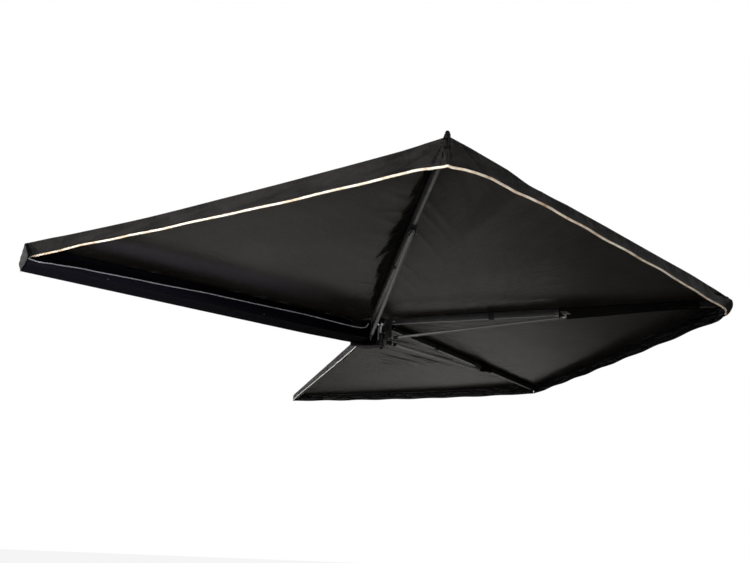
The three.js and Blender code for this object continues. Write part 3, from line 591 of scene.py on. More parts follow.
class Shape:
    """A mesh under construction, with each vertex's share from one body to the next."""

    def __init__(self) -> None:
        """Starts an empty mesh with its UV map and its share layer."""
        self.bm = bmesh.new()
        self.uv = self.bm.loops.layers.uv.new("UVMap")
        self.share = self.bm.verts.layers.float.new("share")

    def grid(self, across: int, along: int, place: Place, size: Span, weld: bool = False) -> "Shape":
        """Adds a grid bent to a surface. Its share of the next body rises along its first direction.

        Args:
            across: Faces across the grid.
            along: Faces along it.
            place: Gives the point of two shares, each from 0 to 1.
            size: The cloth's width and length, for the UV map.
            weld: Whether edges that meet are joined.

        Returns:
            The shape itself.
        """
        made = bmesh.ops.create_grid(self.bm, x_segments=across, y_segments=along, size=0.5)
        spots = {}
        for vert in made["verts"]:
            u, v = vert.co.x + 0.5, vert.co.y + 0.5
            spots[vert] = (u * size[0], v * size[1])
            vert[self.share] = u
            vert.co = place(u, v)
        for face in {face for vert in made["verts"] for face in vert.link_faces}:
            face.smooth = True
            for loop in face.loops:
                loop[self.uv].uv = spots[loop.vert]
        if weld:
            bmesh.ops.remove_doubles(self.bm, verts=made["verts"], dist=TINY)
        return self

    def tube(self, path: Callable[[float], Vector], radius: float, length: float, steps: int,
             sides: int = 10) -> "Shape":
        """Adds a tube along a path, closed at both ends.

        Args:
            path: Gives the tube's middle at a share of its length.
            radius: Its radius.
            length: Its length, for the UV map.
            steps: Rings along it.
            sides: Faces round it.

        Returns:
            The shape itself.
        """
        def place(u: float, v: float) -> Vector:
            """A point on the tube's skin."""
            step = 0.5 / steps
            ahead = (path(min(1.0, u + step)) - path(max(0.0, u - step))).normalized()
            side = ahead.cross(UP).normalized() if abs(ahead.z) < 0.99 else Vector((1, 0, 0))
            over = side.cross(ahead)
            angle = -2 * math.pi * v
            return path(u) + side * (radius * math.cos(angle)) + over * (radius * math.sin(angle))

        start = len(self.bm.verts)
        self.grid(steps, sides, place, (length, 2 * math.pi * radius), weld=True)
        self.bm.verts.ensure_lookup_table()
        rim = {edge for vert in self.bm.verts[start:] for edge in vert.link_edges if edge.is_boundary}
        bmesh.ops.holes_fill(self.bm, edges=list(rim), sides=0)
        return self.outward()

    def bar(self, radius: float, first: Vector, last: Vector, sides: int = 24, last_radius: Optional[float] = None,
            rim: float = 0.0) -> "Shape":
        """Adds a round bar, with its rims bevelled.

        Args:
            radius: Its radius at its first end.
            first: The middle of its first end.
            last: The middle of its last end.
            sides: Faces round it.
            last_radius: Its radius at the last end, where it tapers.
            rim: The width of the bevel round each end.

        Returns:
            The shape itself.
        """
        along = last - first
        turn = along.to_track_quat("Z", "Y").to_matrix().to_4x4()
        place = Matrix.Translation((first + last) / 2) @ turn
        end = radius if last_radius is None else last_radius
        made = bmesh.ops.create_cone(self.bm, cap_ends=True, segments=sides, radius1=radius, radius2=end,
                                     depth=along.length, matrix=place, calc_uvs=True)
        if rim:
            edges = {edge for vert in made["verts"] for edge in vert.link_edges}
            soften(self.bm, [edge for edge in edges if edge.calc_face_angle(0) > math.radians(50)], rim)
        return self

    def block(self, size: Triple, place: Matrix, rim: float = 0.0) -> "Shape":
        """Adds a block with bevelled edges, centred on a place."""
        made = bmesh.ops.create_cube(self.bm, size=1.0, matrix=place @ Matrix.Diagonal((*size, 1)), calc_uvs=True)
        if rim:
            soften(self.bm, list({edge for vert in made["verts"] for edge in vert.link_edges}), rim)
        return self

    def outward(self) -> "Shape":
        """Turns the faces of closed shapes outwards."""
        bmesh.ops.recalc_face_normals(self.bm, faces=self.bm.faces)
        return self

    def object(self, name: str, finish: Finishes, crease: float = 35.0) -> bpy.types.Object:
        """Turns the shape into an object with its finish.

        Args:
            name: The piece's name.
            finish: Its finish.
            crease: Edges sharper than this, in degrees, stay sharp.

        Returns:
            The new object.
        """
        for face in self.bm.faces:
            face.smooth = True
        mesh = bpy.data.meshes.new(name)
        self.bm.to_mesh(mesh)
        self.bm.free()
        mesh.set_sharp_from_angle(angle=math.radians(crease))
        mesh.materials.append(finish.value.material())
        made = bpy.data.objects.new(name, mesh)
        bpy.context.scene.collection.objects.link(made)
        LOG.info("%s: %d faces", name, len(mesh.polygons))
        return made

    def rigid(self, name: str, finish: Finishes, body: str, *nodes: str, crease: float = 35.0) -> bpy.types.Object:
        """Turns the shape into a piece that moves with one body, and may stand for solids of the frame."""
        made = self.object(name, finish, crease)
        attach(made, body)
        if nodes:
            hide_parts(*nodes)
        return made


def thicken(piece: bpy.types.Object, thickness: float, offset: float = -1.0) -> bpy.types.Object:
    """Gives a sheet its thickness. An offset of -1 keeps the outer face where it is."""
    solid = piece.modifiers.new("Thickness", "SOLIDIFY")
    solid.thickness = thickness
    solid.offset = offset
    return piece


def rounded(node: str, finish: Finishes, rim: float, body: str, crease: float = 32.0) -> bpy.types.Object:
    """Dresses a rigid solid of the frame as a piece with softened edges.

    Args:
        node: The solid's name.
        finish: Its finish.
        rim: The width of the softened edges.
        body: The body that it moves with.
        crease: Edges sharper than this, in degrees, are softened.

    Returns:
        The new piece, which stands for the solid.
    """
    shape = Shape()
    bm = shape.bm
    bm.from_mesh(frame["nodes"][node].data)
    bmesh.ops.remove_doubles(bm, verts=bm.verts, dist=5e-6)
    bmesh.ops.dissolve_limit(bm, angle_limit=math.radians(0.6), verts=bm.verts, edges=bm.edges)
    soften(bm, [edge for edge in bm.edges if edge.calc_face_angle(0) > math.radians(crease)], rim, clamp=True)
    return shape.rigid(f"{node}_skin", finish, body, node, crease=crease)


# Where everything lies


@dataclass(frozen=True)
class Layout:
    """Where the pin, the arms and the cloth's edges lie."""

    pin: Vector
    steps: tuple[float, ...]
    reach: float = 2.5
    rail_end: float = 2.56
    rafter_start: float = 0.1
    tip_drops: tuple[float, ...] = (0.060, 0.0, -0.022, 0.082)
    hem_sags: tuple[float, ...] = (0.028, 0.008, 0.012, 0.016)
    hem_lifts: tuple[Table, ...] = (
        ((0, 0), (0.08, 0), (0.15, -0.004), (0.38, -0.008), (0.56, -0.0045), (0.71, -0.0065), (0.92, -0.010), (1, 0)),
        ((0, 0), (0.05, 0.005), (0.14, 0.006), (0.2, -0.011), (0.26, -0.005), (0.32, 0.004), (0.45, 0.011),
         (0.61, 0.014), (0.79, 0.018), (0.9, 0.010), (1, 0)),
        ((0, 0), (1, 0)),
        ((0, 0), (1, 0)),
    )
    stack_pitch: float = 0.038
    stack_inset: float = 0.038
    cloth_start: float = 0.045
    cloth_gather: float = 0.26
    crown_height: float = 0.0132
    corner_inset: float = 0.132
    flap_offset: float = 0.0174
    flap_height: float = 0.078

    @classmethod
    def of_frame(cls) -> "Layout":
        """Reads the pin and the arms' steps from the frame's joints."""
        joints = frame["joints"]
        steps = tuple(-math.radians(joint["range_deg"][0]) for joint in joints)
        return cls(Vector(joints[0]["pos_m"]), steps)

    @property
    def arms(self) -> int:
        """How many arms there are."""
        return len(self.steps)

    def offset(self, arm: int) -> float:
        """How far an arm lies beside the pin, so that the arms lie side by side when folded."""
        return (arm - (self.arms - 1) / 2) * self.stack_pitch - self.stack_inset

    def heading(self, arm: int) -> float:
        """The arm's direction, in radians from +X."""
        return math.pi + sum(self.steps[: arm + 1])

    def tilt(self, arm: int) -> float:
        """How steeply a rafter falls towards its tip."""
        return math.atan(self.tip_drops[arm] / (self.reach - self.rafter_start))

    def arm_frame(self, arm: int) -> Matrix:
        """From an arm's own frame, along +X from the pin, to the part's."""
        return Matrix.Translation(self.pin) @ Matrix.Rotation(self.heading(arm), 4, "Z")

    def rafter_frame(self, arm: int) -> Matrix:
        """From the rafter's own frame, which starts at the pin's distance and runs along it, to the part's."""
        start = Matrix.Translation((self.rafter_start, self.offset(arm), 0))
        back = Matrix.Translation((-self.rafter_start, 0, 0))
        return self.arm_frame(arm) @ start @ Matrix.Rotation(self.tilt(arm), 4, "Y") @ back

    def crown(self, distance: float) -> float:
        """The cloth's height over the hub."""
        return self.crown_height * (1 - smooth(self.cloth_start, self.cloth_gather, distance))

    def hem_end(self, arm: int) -> float:
        """How far from the pin an arm's hem ends, or the rail's for arm -1."""
        return self.rail_end if arm < 0 else self.reach

    def hem_share(self, arm: int, distance: float) -> float:
        """The share along a hem at a distance from the pin."""
        return (distance - self.cloth_start) / (self.hem_end(arm) - self.cloth_start)

    def hem(self, arm: int, share: float) -> Vector:
        """A point on the cloth's hem over an arm, or over the rail for arm -1."""
        distance = lerp(self.cloth_start, self.hem_end(arm), share)
        gathered = min(1.0, distance / self.cloth_gather)
        height = self.crown(distance)
        if arm < 0:
            return self.pin + Vector((-distance, self.corner_inset * gathered, height))
        beside = self.offset(arm) * gathered + (self.flap_offset if arm == self.arms - 1 else 0.0)
        drop = max(0.0, distance - self.rafter_start) * math.tan(self.tilt(arm))
        return self.arm_frame(arm) @ Vector((distance, beside, height - drop))

    def on_panel(self, panel: int, u: float, v: float) -> Vector:
        """A point of a panel, u from its clockwise hem to the other and v outwards."""
        spot = self.hem(panel - 1, v).lerp(self.hem(panel, v), u)
        spot.z -= self.hem_sags[panel] * math.sin(math.pi * u) * v
        spot.z += tabled(self.hem_lifts[panel], u) * smooth(0.6, 1.0, v)
        return spot

    def chord(self, panel: int) -> Vector:
        """From a panel's clockwise outer corner to its other one."""
        return self.on_panel(panel, 1, 1) - self.on_panel(panel, 0, 1)

    def outward(self, panel: int) -> Vector:
        """The level direction out of a panel's outer hem."""
        chord = self.chord(panel)
        return Vector((chord.y, -chord.x, 0)).normalized()

    def side(self, arm: int) -> Vector:
        """The level direction across an arm, towards the next one."""
        return self.arm_frame(arm).to_3x3() @ Vector((0, 1, 0))

    def body(self, arm: int) -> str:
        """The body that carries an arm, or the rail for arm -1."""
        return "base" if arm < 0 else f"arm_{arm + 1}"


LAYOUT = Layout.of_frame()


def bend(piece: bpy.types.Object, panel: int, v: float) -> bpy.types.Object:
    """Bakes a piece's transform and reads its own share layer, which is 0 and 1 on the two hems; the piece is not bent.

    Args:
        piece: The piece.
        panel: The panel that it moves with.
        v: Share outwards of the points where it leaves one body and has reached the other.

    Returns:
        The piece.
    """
    start, end = (tuple(LAYOUT.on_panel(panel, u, v)) for u in (0, 1))
    LAYOUT.body(panel - 1)
    LAYOUT.body(panel)
    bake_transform(piece)
    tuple(start)
    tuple(end)
    shares = [0.0] * len(piece.data.vertices)
    piece.data.attributes["share"].data.foreach_get("value", shares)
    return piece


# The canopy


@dataclass
class Canopy:
    """The four cloth panels, their seams, the gore beside the hub and the patch over it."""

    thickness: float = 0.0011
    faces: int = 150
    panel_seed: float = 7.3
    slack: Wave = Wave(0.0055, (3.1, 1.9))
    slack_rise: Span = (0.0, 0.4)
    held_edge: Span = (0.0, 0.05)
    held_rim: Span = (0.93, 1.0)
    spokes: Wave = Wave(1.0, (15.0, 1.6), 3.0)
    spoke_slant: float = 0.04
    spoke_spans: tuple[Span, Span] = ((0.1, 0.3), (0.45, 1.25))
    spoke_edge: Span = (0.0, 0.06)
    gathers: Wave = Wave(1.0, (11.0, 1.5), 3.0)
    gather_slant: float = 0.22
    gather_spans: tuple[Span, Span] = ((0.22, 0.45), (1.15, 1.8))
    gather_sides: tuple[Span, Span] = ((0.04, 0.16), (0.52, 0.8))
    hub_creases: tuple[float, ...] = (0.0008, 0.0010, 0.0024, 0.0110)
    pulls: Wave = Wave(0.0032, (5.5, 1.3))
    pull_slant: float = 4.0 / 5.5
    pull_spans: tuple[Span, Span] = ((0.0, 0.02), (0.08, 0.42))
    rays: Wave = Wave(0.0014, (5.5, 0.9), 11.0)
    ray_spans: tuple[Span, Span] = ((0.02, 0.12), (0.25, 0.85))
    flat_rim: Span = (0.985, 1.0)
    tape_width: float = 0.038
    tape_thickness: float = 0.0008
    tape_span: Span = (0.02, 0.995)
    tape_nose: float = 0.15
    tape_growth: float = 8.0
    under_share: float = 0.84
    rail_tape_start: float = 0.262
    rail_tape_sides: Span = (-0.034, -0.007)
    rail_tape_size: Span = (0.027, 2.3)
    rail_tape_gap: float = 0.0012
    rail_tape_sag: float = 0.004
    thread_radius: float = 0.0006
    thread_span: Span = (0.14, 0.99)
    thread_share: float = 0.72
    thread_rows: Span = (-0.5, 0.5)
    last_thread_rows: Span = (-0.86, -0.14)
    patch_radius: float = 0.06
    patch_waves: int = 6
    patch_wave: float = 0.0012
    gore_span: Span = (0.06, 0.27)
    gore_size: Span = (0.21, 0.11)
    gore_area: float = 0.0125
    gore_hem: Triple = (0.0, -0.010, -0.0014)
    gore_gap: float = 0.0016
    gore_sag: float = 0.004
    flap_reach: Span = (-0.3, -0.07)
    flap_rise: Span = (-0.0022, 0.0125)
    flap_back: float = 0.101
    flap_lean: float = 0.004

    def ripple(self, panel: int, u: float, v: float) -> float:
        """How far the slack cloth stands off its stretched surface.

        Args:
            panel: The panel's number.
            u: Share from its clockwise hem to the other.
            v: Share outwards.

        Returns:
            The height, in metres.
        """
        distance = lerp(LAYOUT.cloth_start, LAYOUT.reach, v)
        width = distance * LAYOUT.steps[panel]
        edge = min(u, 1 - u) * width
        seed = self.panel_seed * panel
        side = 1.0 if u < 0.5 else -1.0
        held = smooth(*self.held_edge, edge) * (1 - smooth(*self.held_rim, v))
        ripple = held * self.slack.at(u, v, seed) * smooth(*self.slack_rise, edge)
        if panel == LAYOUT.arms - 1:
            crease = self.gathers.crest(u * width + self.gather_slant * distance, distance, seed)
            crease *= between(distance, *self.gather_spans) * between(u, *self.gather_sides)
        else:
            crease = self.spokes.crest(u + self.spoke_slant * v, v, seed)
            crease *= between(distance, *self.spoke_spans) * smooth(*self.spoke_edge, edge)
        pull = self.pulls.crest(distance + side * edge * self.pull_slant, edge, seed + side * 5)
        ripple += crease * self.hub_creases[panel] + pull * between(edge, *self.pull_spans)
        for corner in (0.0, 1.0):
            out, beside = (1 - v) * LAYOUT.reach, abs(u - corner) * width
            gap = math.hypot(out, beside)
            ripple += self.rays.crest(math.atan2(out, beside), gap, seed + corner * 4) * between(gap, *self.ray_spans)
        return -ripple * (1 - smooth(*self.flat_rim, v))

    def panel(self, panel: int) -> None:
        """Makes one panel between its two arms."""
        def place(u: float, v: float) -> Vector:
            """A point on the panel's upper face."""
            spot = LAYOUT.on_panel(panel, u, v)
            spot.z += self.ripple(panel, u, v)
            return spot

        reach, step = LAYOUT.reach, LAYOUT.steps[panel]
        shape = Shape().grid(self.faces, self.faces, place, (reach * step, reach))
        piece = thicken(shape.object(f"canopy_cloth_{panel + 1}", Finishes.CANOPY), self.thickness)
        bend(piece, panel, 0.5)
        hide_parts(f"canopy_panel_{panel + 1}")
        LAYOUT.chord(panel).length

    def seam(self, arm: int, over: bool) -> None:
        """Makes the tape along an arm's seam, over or under the cloth; the tape under it is near-black as painted
        shade.
        """
        side = LAYOUT.side(arm)
        inner = -self.tape_width / 2 if arm < LAYOUT.arms - 1 else -self.tape_width
        lift = self.tape_thickness / 2 if over else -self.thickness - self.tape_thickness / 2
        share = 1.0 if over else self.under_share

        def place(u: float, v: float) -> Vector:
            """A point on the tape, which starts narrow at the hub."""
            across = lerp(inner, inner + self.tape_width, u) * min(1.0, self.tape_nose + v * self.tape_growth) * share
            return LAYOUT.hem(arm, lerp(*self.tape_span, v)) + side * across + UP * lift

        name = f"seam_tape_{'over' if over else 'under'}_{arm + 1}"
        shape = Shape().grid(6, 90, place, (self.tape_width, LAYOUT.reach))
        # Under the cloth the tape is near-black: painted shade along the rafter.
        finish = Finishes.VALANCE if over else Finishes.SHADED_CLOTH
        thicken(shape.rigid(name, finish, LAYOUT.body(arm)), self.tape_thickness, 0.0)

    def rail_tape(self) -> None:
        """Makes the dark tape under the first panel's hem on the rail."""
        start = LAYOUT.hem_share(-1, self.rail_tape_start)

        def place(u: float, v: float) -> Vector:
            """A point on the tape."""
            under = -self.thickness - self.rail_tape_gap - self.rail_tape_sag * (1 - u)
            return LAYOUT.hem(-1, lerp(start, 0.997, v)) + Vector((0, lerp(*self.rail_tape_sides, u), under))

        shape = Shape().grid(5, 120, place, self.rail_tape_size)
        thicken(shape.rigid("rail_hem_tape", Finishes.WEBBING, "base"), self.tape_thickness, 0.0)

    def stitches(self, arm: int) -> None:
        """Makes two rows of stitching along a seam's tape, on top."""
        shape = Shape()
        side = LAYOUT.side(arm)
        for row in self.thread_rows if arm < LAYOUT.arms - 1 else self.last_thread_rows:
            def path(u: float, row: float = row) -> Vector:
                """The thread's middle."""
                shift = side * (row * self.tape_width * self.thread_share)
                return LAYOUT.hem(arm, lerp(*self.thread_span, u)) + shift + UP * (self.tape_thickness + 0.0002)

            shape.tube(path, self.thread_radius, LAYOUT.reach, 60, 5)
        shape.rigid(f"seam_stitching_{arm + 1}", Finishes.THREAD, LAYOUT.body(arm))

    def patch(self) -> None:
        """Makes the round patch over the hub."""
        low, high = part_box("hub_patch")
        middle = (low + high) / 2

        def place(u: float, v: float) -> Vector:
            """A point on the patch, from its middle outwards."""
            angle = 2 * math.pi * u
            radius = v * (high.x - low.x) / 2
            wave = self.patch_wave * math.sin(self.patch_waves * angle) * v
            return Vector((middle.x + radius * math.cos(angle), middle.y + radius * math.sin(angle),
                           high.z - 0.001 * v * v + wave - 0.0005))

        shape = Shape().grid(48, 8, place, (2 * math.pi * self.patch_radius, self.patch_radius), weld=True)
        thicken(shape.rigid("hub_patch_cloth", Finishes.VALANCE, "base", "hub_patch"), high.z - low.z)

    def gore(self) -> None:
        """Makes the three-sided gore between the canopy's corner and the rail, and the flap behind it."""
        start, end = (LAYOUT.hem_share(-1, distance) for distance in self.gore_span)

        def place(u: float, v: float) -> Vector:
            """A point on the gore, u along the rail and v away from it."""
            hem = LAYOUT.hem(-1, lerp(start, end, u)) + Vector(self.gore_hem)
            height = LAYOUT.pin.z + LAYOUT.crown(LAYOUT.pin.x - hem.x)
            spot = hem.lerp(Vector((hem.x, LAYOUT.pin.y + LAYOUT.corner_inset, height)), v)
            spot.z -= self.gore_gap + self.gore_sag * math.sin(math.pi * v) * (1 - u)
            return spot

        piece = Shape().grid(24, 16, place, self.gore_size).rigid("hub_gore", Finishes.VALANCE, "base")
        thicken(piece, self.thickness)

        def flap(u: float, v: float) -> Vector:
            """A point on the flap that closes the slit behind the gore, v upwards."""
            back = self.flap_back - self.flap_lean * v
            return LAYOUT.pin + Vector((lerp(*self.flap_reach, u), back, lerp(*self.flap_rise, v)))

        strip = Shape().grid(24, 4, flap, (0.23, 0.015)).rigid("hub_gore_flap", Finishes.WEBBING, "base")
        thicken(strip, self.tape_thickness, 0.0)

    def build(self) -> None:
        """Makes the whole canopy."""
        for panel in range(LAYOUT.arms):
            self.panel(panel)
        for arm in range(LAYOUT.arms):
            self.seam(arm, over=True)
            self.stitches(arm)
        for arm in range(LAYOUT.arms - 1):
            self.seam(arm, over=False)
        self.rail_tape()
        self.gore()
        self.patch()


# The valances


@dataclass
class Valances:
    """The strips that hang from the outer hems, with their piping."""

    thickness: float = 0.0011
    gap: float = 0.0018
    fold: float = 0.009
    fold_pitch: float = 0.39
    heights: tuple[Table, ...] = (
        ((0, 0.114), (0.08, 0.109), (0.2, 0.095), (0.4, 0.099), (0.55, 0.106), (0.71, 0.117), (0.9, 0.124), (1, 0.136)),
        ((0, 0.136), (0.045, 0.127), (0.1, 0.107), (0.15, 0.102), (0.2, 0.079), (0.26, 0.073), (0.32, 0.086),
         (0.45, 0.093), (0.61, 0.093), (0.7, 0.102), (0.79, 0.117), (1, 0.122)),
        ((0, 0.122), (0.12, 0.106), (1, 0.084)),
        ((0, 0.084), (1, 0.068)),
    )
    leans: tuple[float, ...] = (0.0, -0.024, -0.042, 0.004, 0.0)
    bulges: tuple[float, ...] = (0.0, 0.004, 0.018, 0.004, 0.0)
    corner: float = 0.16
    panel_seed: float = 13.7
    crinkle: float = 0.0046
    streaks: Wave = Wave(1.0, (13.0, 5.0))
    slants: Wave = Wave(0.9, (7.0, 4.0), 4.0)
    slant: float = 16.0 / 7.0
    slant_middle: float = 0.36
    gathers: Wave = Wave(1.1, (24.0, 7.0), 9.0)
    gather_slant: float = 9.0 / 24.0
    gather_fall: Span = (0.1, 0.6)
    rays: Wave = Wave(-3.8, (4.2, 3.0), 17.0)
    ray_foot: float = 0.02
    ray_fall: Span = (0.1, 0.4)
    foot_wave: Wave = Wave(0.0025, (2.6, 1.0), 30.0)
    lining_streaks: Wave = Wave(0.006, (4.5, 34.0), 21.0)
    lining_slant: float = 2.0
    lining_height: float = 0.09
    across: int = 360
    down: int = 22
    piping_radius: float = 0.0058
    piping_set: float = 0.0045
    piping_spans: tuple[Span, ...] = ((0.0, 1.0), (0.0, 0.988), (0.05, 0.97), (0.03, 0.99))
    piping_rises: tuple[float, ...] = (-0.4, -0.4, 1.9, 1.9)
    hem_proud: float = 0.0009
    hem_bands: tuple[Triple, ...] = ((0.8, 0.985, 0.022), (0.0, 0.13, 0.014))
    lining_span: Span = (0.004, 0.996)
    lining_drop: Span = (0.03, 0.98)
    lining_inset: float = 0.003
    lining_thickness: float = 0.0006
    rise: float = -0.4
    rail_gap: float = 0.016

    def bisector(self, panel: int, end: float) -> Vector:
        """The direction out of a corner, halfway between the two valances that meet there."""
        other = panel - 1 if end < 0.5 else panel + 1
        if not 0 <= other < LAYOUT.arms:
            return LAYOUT.outward(panel)
        return (LAYOUT.outward(panel) + LAYOUT.outward(other)).normalized()

    def crumpled(self, panel: int, run: float, drop: float, near: float, end: float, v: float) -> float:
        """How far the crinkles stand out.

        Args:
            panel: The panel that the valance hangs from.
            run: The distance along it.
            drop: The distance down it.
            near: The distance to its nearer end.
            end: 0 or 1 for that end.
            v: Share down it.

        Returns:
            The distance outwards.
        """
        seed = self.panel_seed * panel
        crumple = self.streaks.at(run, drop, seed) * (1 - 0.5 * v)
        crumple += self.slants.crest(run + self.slant * drop, drop, seed) - self.slant_middle
        gathers = self.gathers.crest(run - self.gather_slant * drop, drop, seed)
        crumple += gathers * (1 - smooth(*self.gather_fall, v))
        rays = self.rays.crest(math.atan2(near, drop + self.ray_foot), near, seed + 3 * end)
        crumple += rays * (1 - smooth(*self.ray_fall, near))
        return crumple * self.crinkle * smooth(0.0, 0.12, v) * (1 - 0.85 * smooth(0.7, 1.0, v))

    def place(self, panel: int, u: float, v: float, proud: float = 0.0) -> Vector:
        """A point on a valance's outer face.

        Args:
            panel: The panel that it hangs from.
            u: Share along it, clockwise end first.
            v: Share down it.
            proud: How far to stand out from it.

        Returns:
            The point.
        """
        length = LAYOUT.chord(panel).length
        at = lerp(self.rail_gap / length if panel == 0 else 0.0, 1.0, u)
        spot = LAYOUT.on_panel(panel, at, 1)
        run, drop = at * length, v * tabled(self.heights[panel], at)
        near = min(at, 1 - at) * length
        end = 0.0 if at < 0.5 else 1.0
        turn = 1 - smooth(0.0, self.corner, near)
        out = LAYOUT.outward(panel).lerp(self.bisector(panel, end), turn).normalized()
        folds = round(length / self.fold_pitch)
        swing = self.fold * v * (1 - math.cos(2 * math.pi * folds * at)) / 2
        tip = panel + round(end)
        lean = (self.leans[tip] * v * v + self.bulges[tip] * math.sin(math.pi * v)) * turn
        spot.z -= drop + self.foot_wave.at(run, 0.0, self.panel_seed * panel) * v
        spot.z += self.rise * swing
        crumple = self.crumpled(panel, run, drop, near, end, v)
        return spot + out * (self.gap * smooth(0.0, 0.1, v) + swing + lean + crumple + proud)

    def strip(self, panel: int) -> None:
        """Makes one valance between its two arms."""
        length = LAYOUT.chord(panel).length
        height = sum(tabled(self.heights[panel], (step + 0.5) / 40) for step in range(40)) / 40
        shape = Shape().grid(self.across, self.down, lambda u, v: self.place(panel, u, v), (length, height))
        piece = thicken(shape.object(f"valance_cloth_{panel + 1}", Finishes.VALANCE), self.thickness)
        bend(piece, panel, 1)
        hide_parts(f"valance_{panel + 1}")

    def piping(self, panel: int) -> None:
        """Makes the pale piping along a valance's lower edge."""
        def path(u: float) -> Vector:
            """The piping's middle."""
            spot = self.place(panel, lerp(*self.piping_spans[panel], u), 1.0, self.piping_set)
            return spot + UP * (self.piping_set * self.piping_rises[panel])

        shape = Shape().tube(path, self.piping_radius, LAYOUT.chord(panel).length, self.across)
        bend(shape.object(f"valance_piping_{panel + 1}", Finishes.PIPING), panel, 1)

    def binding(self, panel: int) -> None:
        """Makes the folded hem above the piping and the band where the valance joins the panel."""
        shape = Shape()
        for low, high, width in self.hem_bands:
            def place(u: float, v: float, low: float = low, high: float = high) -> Vector:
                """A point on the hem or on the band."""
                return self.place(panel, u, lerp(low, high, v), self.hem_proud)

            shape.grid(self.across, 3, place, (LAYOUT.chord(panel).length, width))
        piece = thicken(shape.object(f"valance_hems_{panel + 1}", Finishes.VALANCE), self.thickness * 0.8)
        bend(piece, panel, 1)

    def lining(self, panel: int) -> None:
        """Makes the coated inner face of a valance, near-black: its own coating with painted shade, darker than the
        canopy cloth.
        """
        length = LAYOUT.chord(panel).length

        def place(u: float, v: float) -> Vector:
            """A point on the lining, whose crinkles run along it."""
            run, drop = u * length, v * self.lining_height
            streak = self.lining_streaks.crest(run + self.lining_slant * drop, drop, panel)
            inward = self.lining_inset + streak * math.sin(math.pi * v)
            return self.place(panel, lerp(*self.lining_span, u), lerp(*self.lining_drop, v), -inward)

        shape = Shape().grid(self.across, 24, place, (length, self.lining_height))
        piece = shape.object(f"valance_lining_{panel + 1}", Finishes.SHADED_LINING)
        bend(thicken(piece, self.lining_thickness, 0.0), panel, 1)

    def build(self) -> None:
        """Makes every valance."""
        for panel in range(LAYOUT.arms):
            self.piping(panel)
            self.binding(panel)
            self.strip(panel)
            self.lining(panel)


# The flap on the last arm


@dataclass
class EndFlap:
    """The short flap along the last arm's outer side."""

    thickness: float = 0.0011
    crinkle: float = 0.0075
    streaks: Wave = Wave(1.0, (17.0, 8.0), 41.0)
    slants: Wave = Wave(1.0, (11.0, 6.0), 44.0)
    slant: float = 2.0
    gap: float = 0.0012
    belly: float = 0.010
    narrow: float = 0.72
    widest: float = 0.12
    piping_radius: float = 0.0056
    piping_drop: float = 0.003
    welt_radius: float = 0.004
    welt_set: float = -0.002
    welt_drop: float = 0.0115
    start: float = 0.1

    def place(self, u: float, v: float, proud: float = 0.0) -> Vector:
        """A point on the flap's outer face, u along the arm and v down."""
        distance = lerp(self.start, LAYOUT.reach, u)
        width = lerp(self.narrow, 1.0, math.sin(math.pi * min(1.0, u + self.widest)))
        drop = v * LAYOUT.flap_height * width
        crinkle = self.streaks.at(distance, drop) + self.slants.crest(distance + self.slant * drop, drop)
        crinkle *= self.crinkle * smooth(0.0, 0.15, v) * (1 - 0.5 * smooth(0.75, 1.0, v))
        out = self.gap + self.belly * v * math.sin(math.pi * u) + crinkle + proud
        return LAYOUT.rafter_frame(LAYOUT.arms - 1) @ Vector((distance, LAYOUT.flap_offset + out, -drop))

    def build(self) -> None:
        """Makes the flap, its piping and the welt above it."""
        body = LAYOUT.body(LAYOUT.arms - 1)
        length = LAYOUT.reach - self.start
        # The flap's piping takes the paler copy as painted light.
        shape = Shape().tube(lambda u: self.place(u, 1.0) - UP * self.piping_drop, self.piping_radius, length, 260)
        piping = shape.rigid("end_flap_piping", Finishes.LIT_PIPING, body)
        shape = Shape().tube(lambda u: self.place(u, 1.0, self.welt_set) - UP * self.welt_drop, self.welt_radius,
                             length, 200, 8)
        shape.rigid("end_flap_welt", Finishes.WEBBING, body)
        shape = Shape().grid(300, 16, self.place, (length, LAYOUT.flap_height))
        # The flap takes a paler copy of the canopy cloth as painted light.
        flap = thicken(shape.rigid("end_flap_cloth", Finishes.LIT_FLAP, body, "end_flap"), self.thickness, 1.0)


# The arms


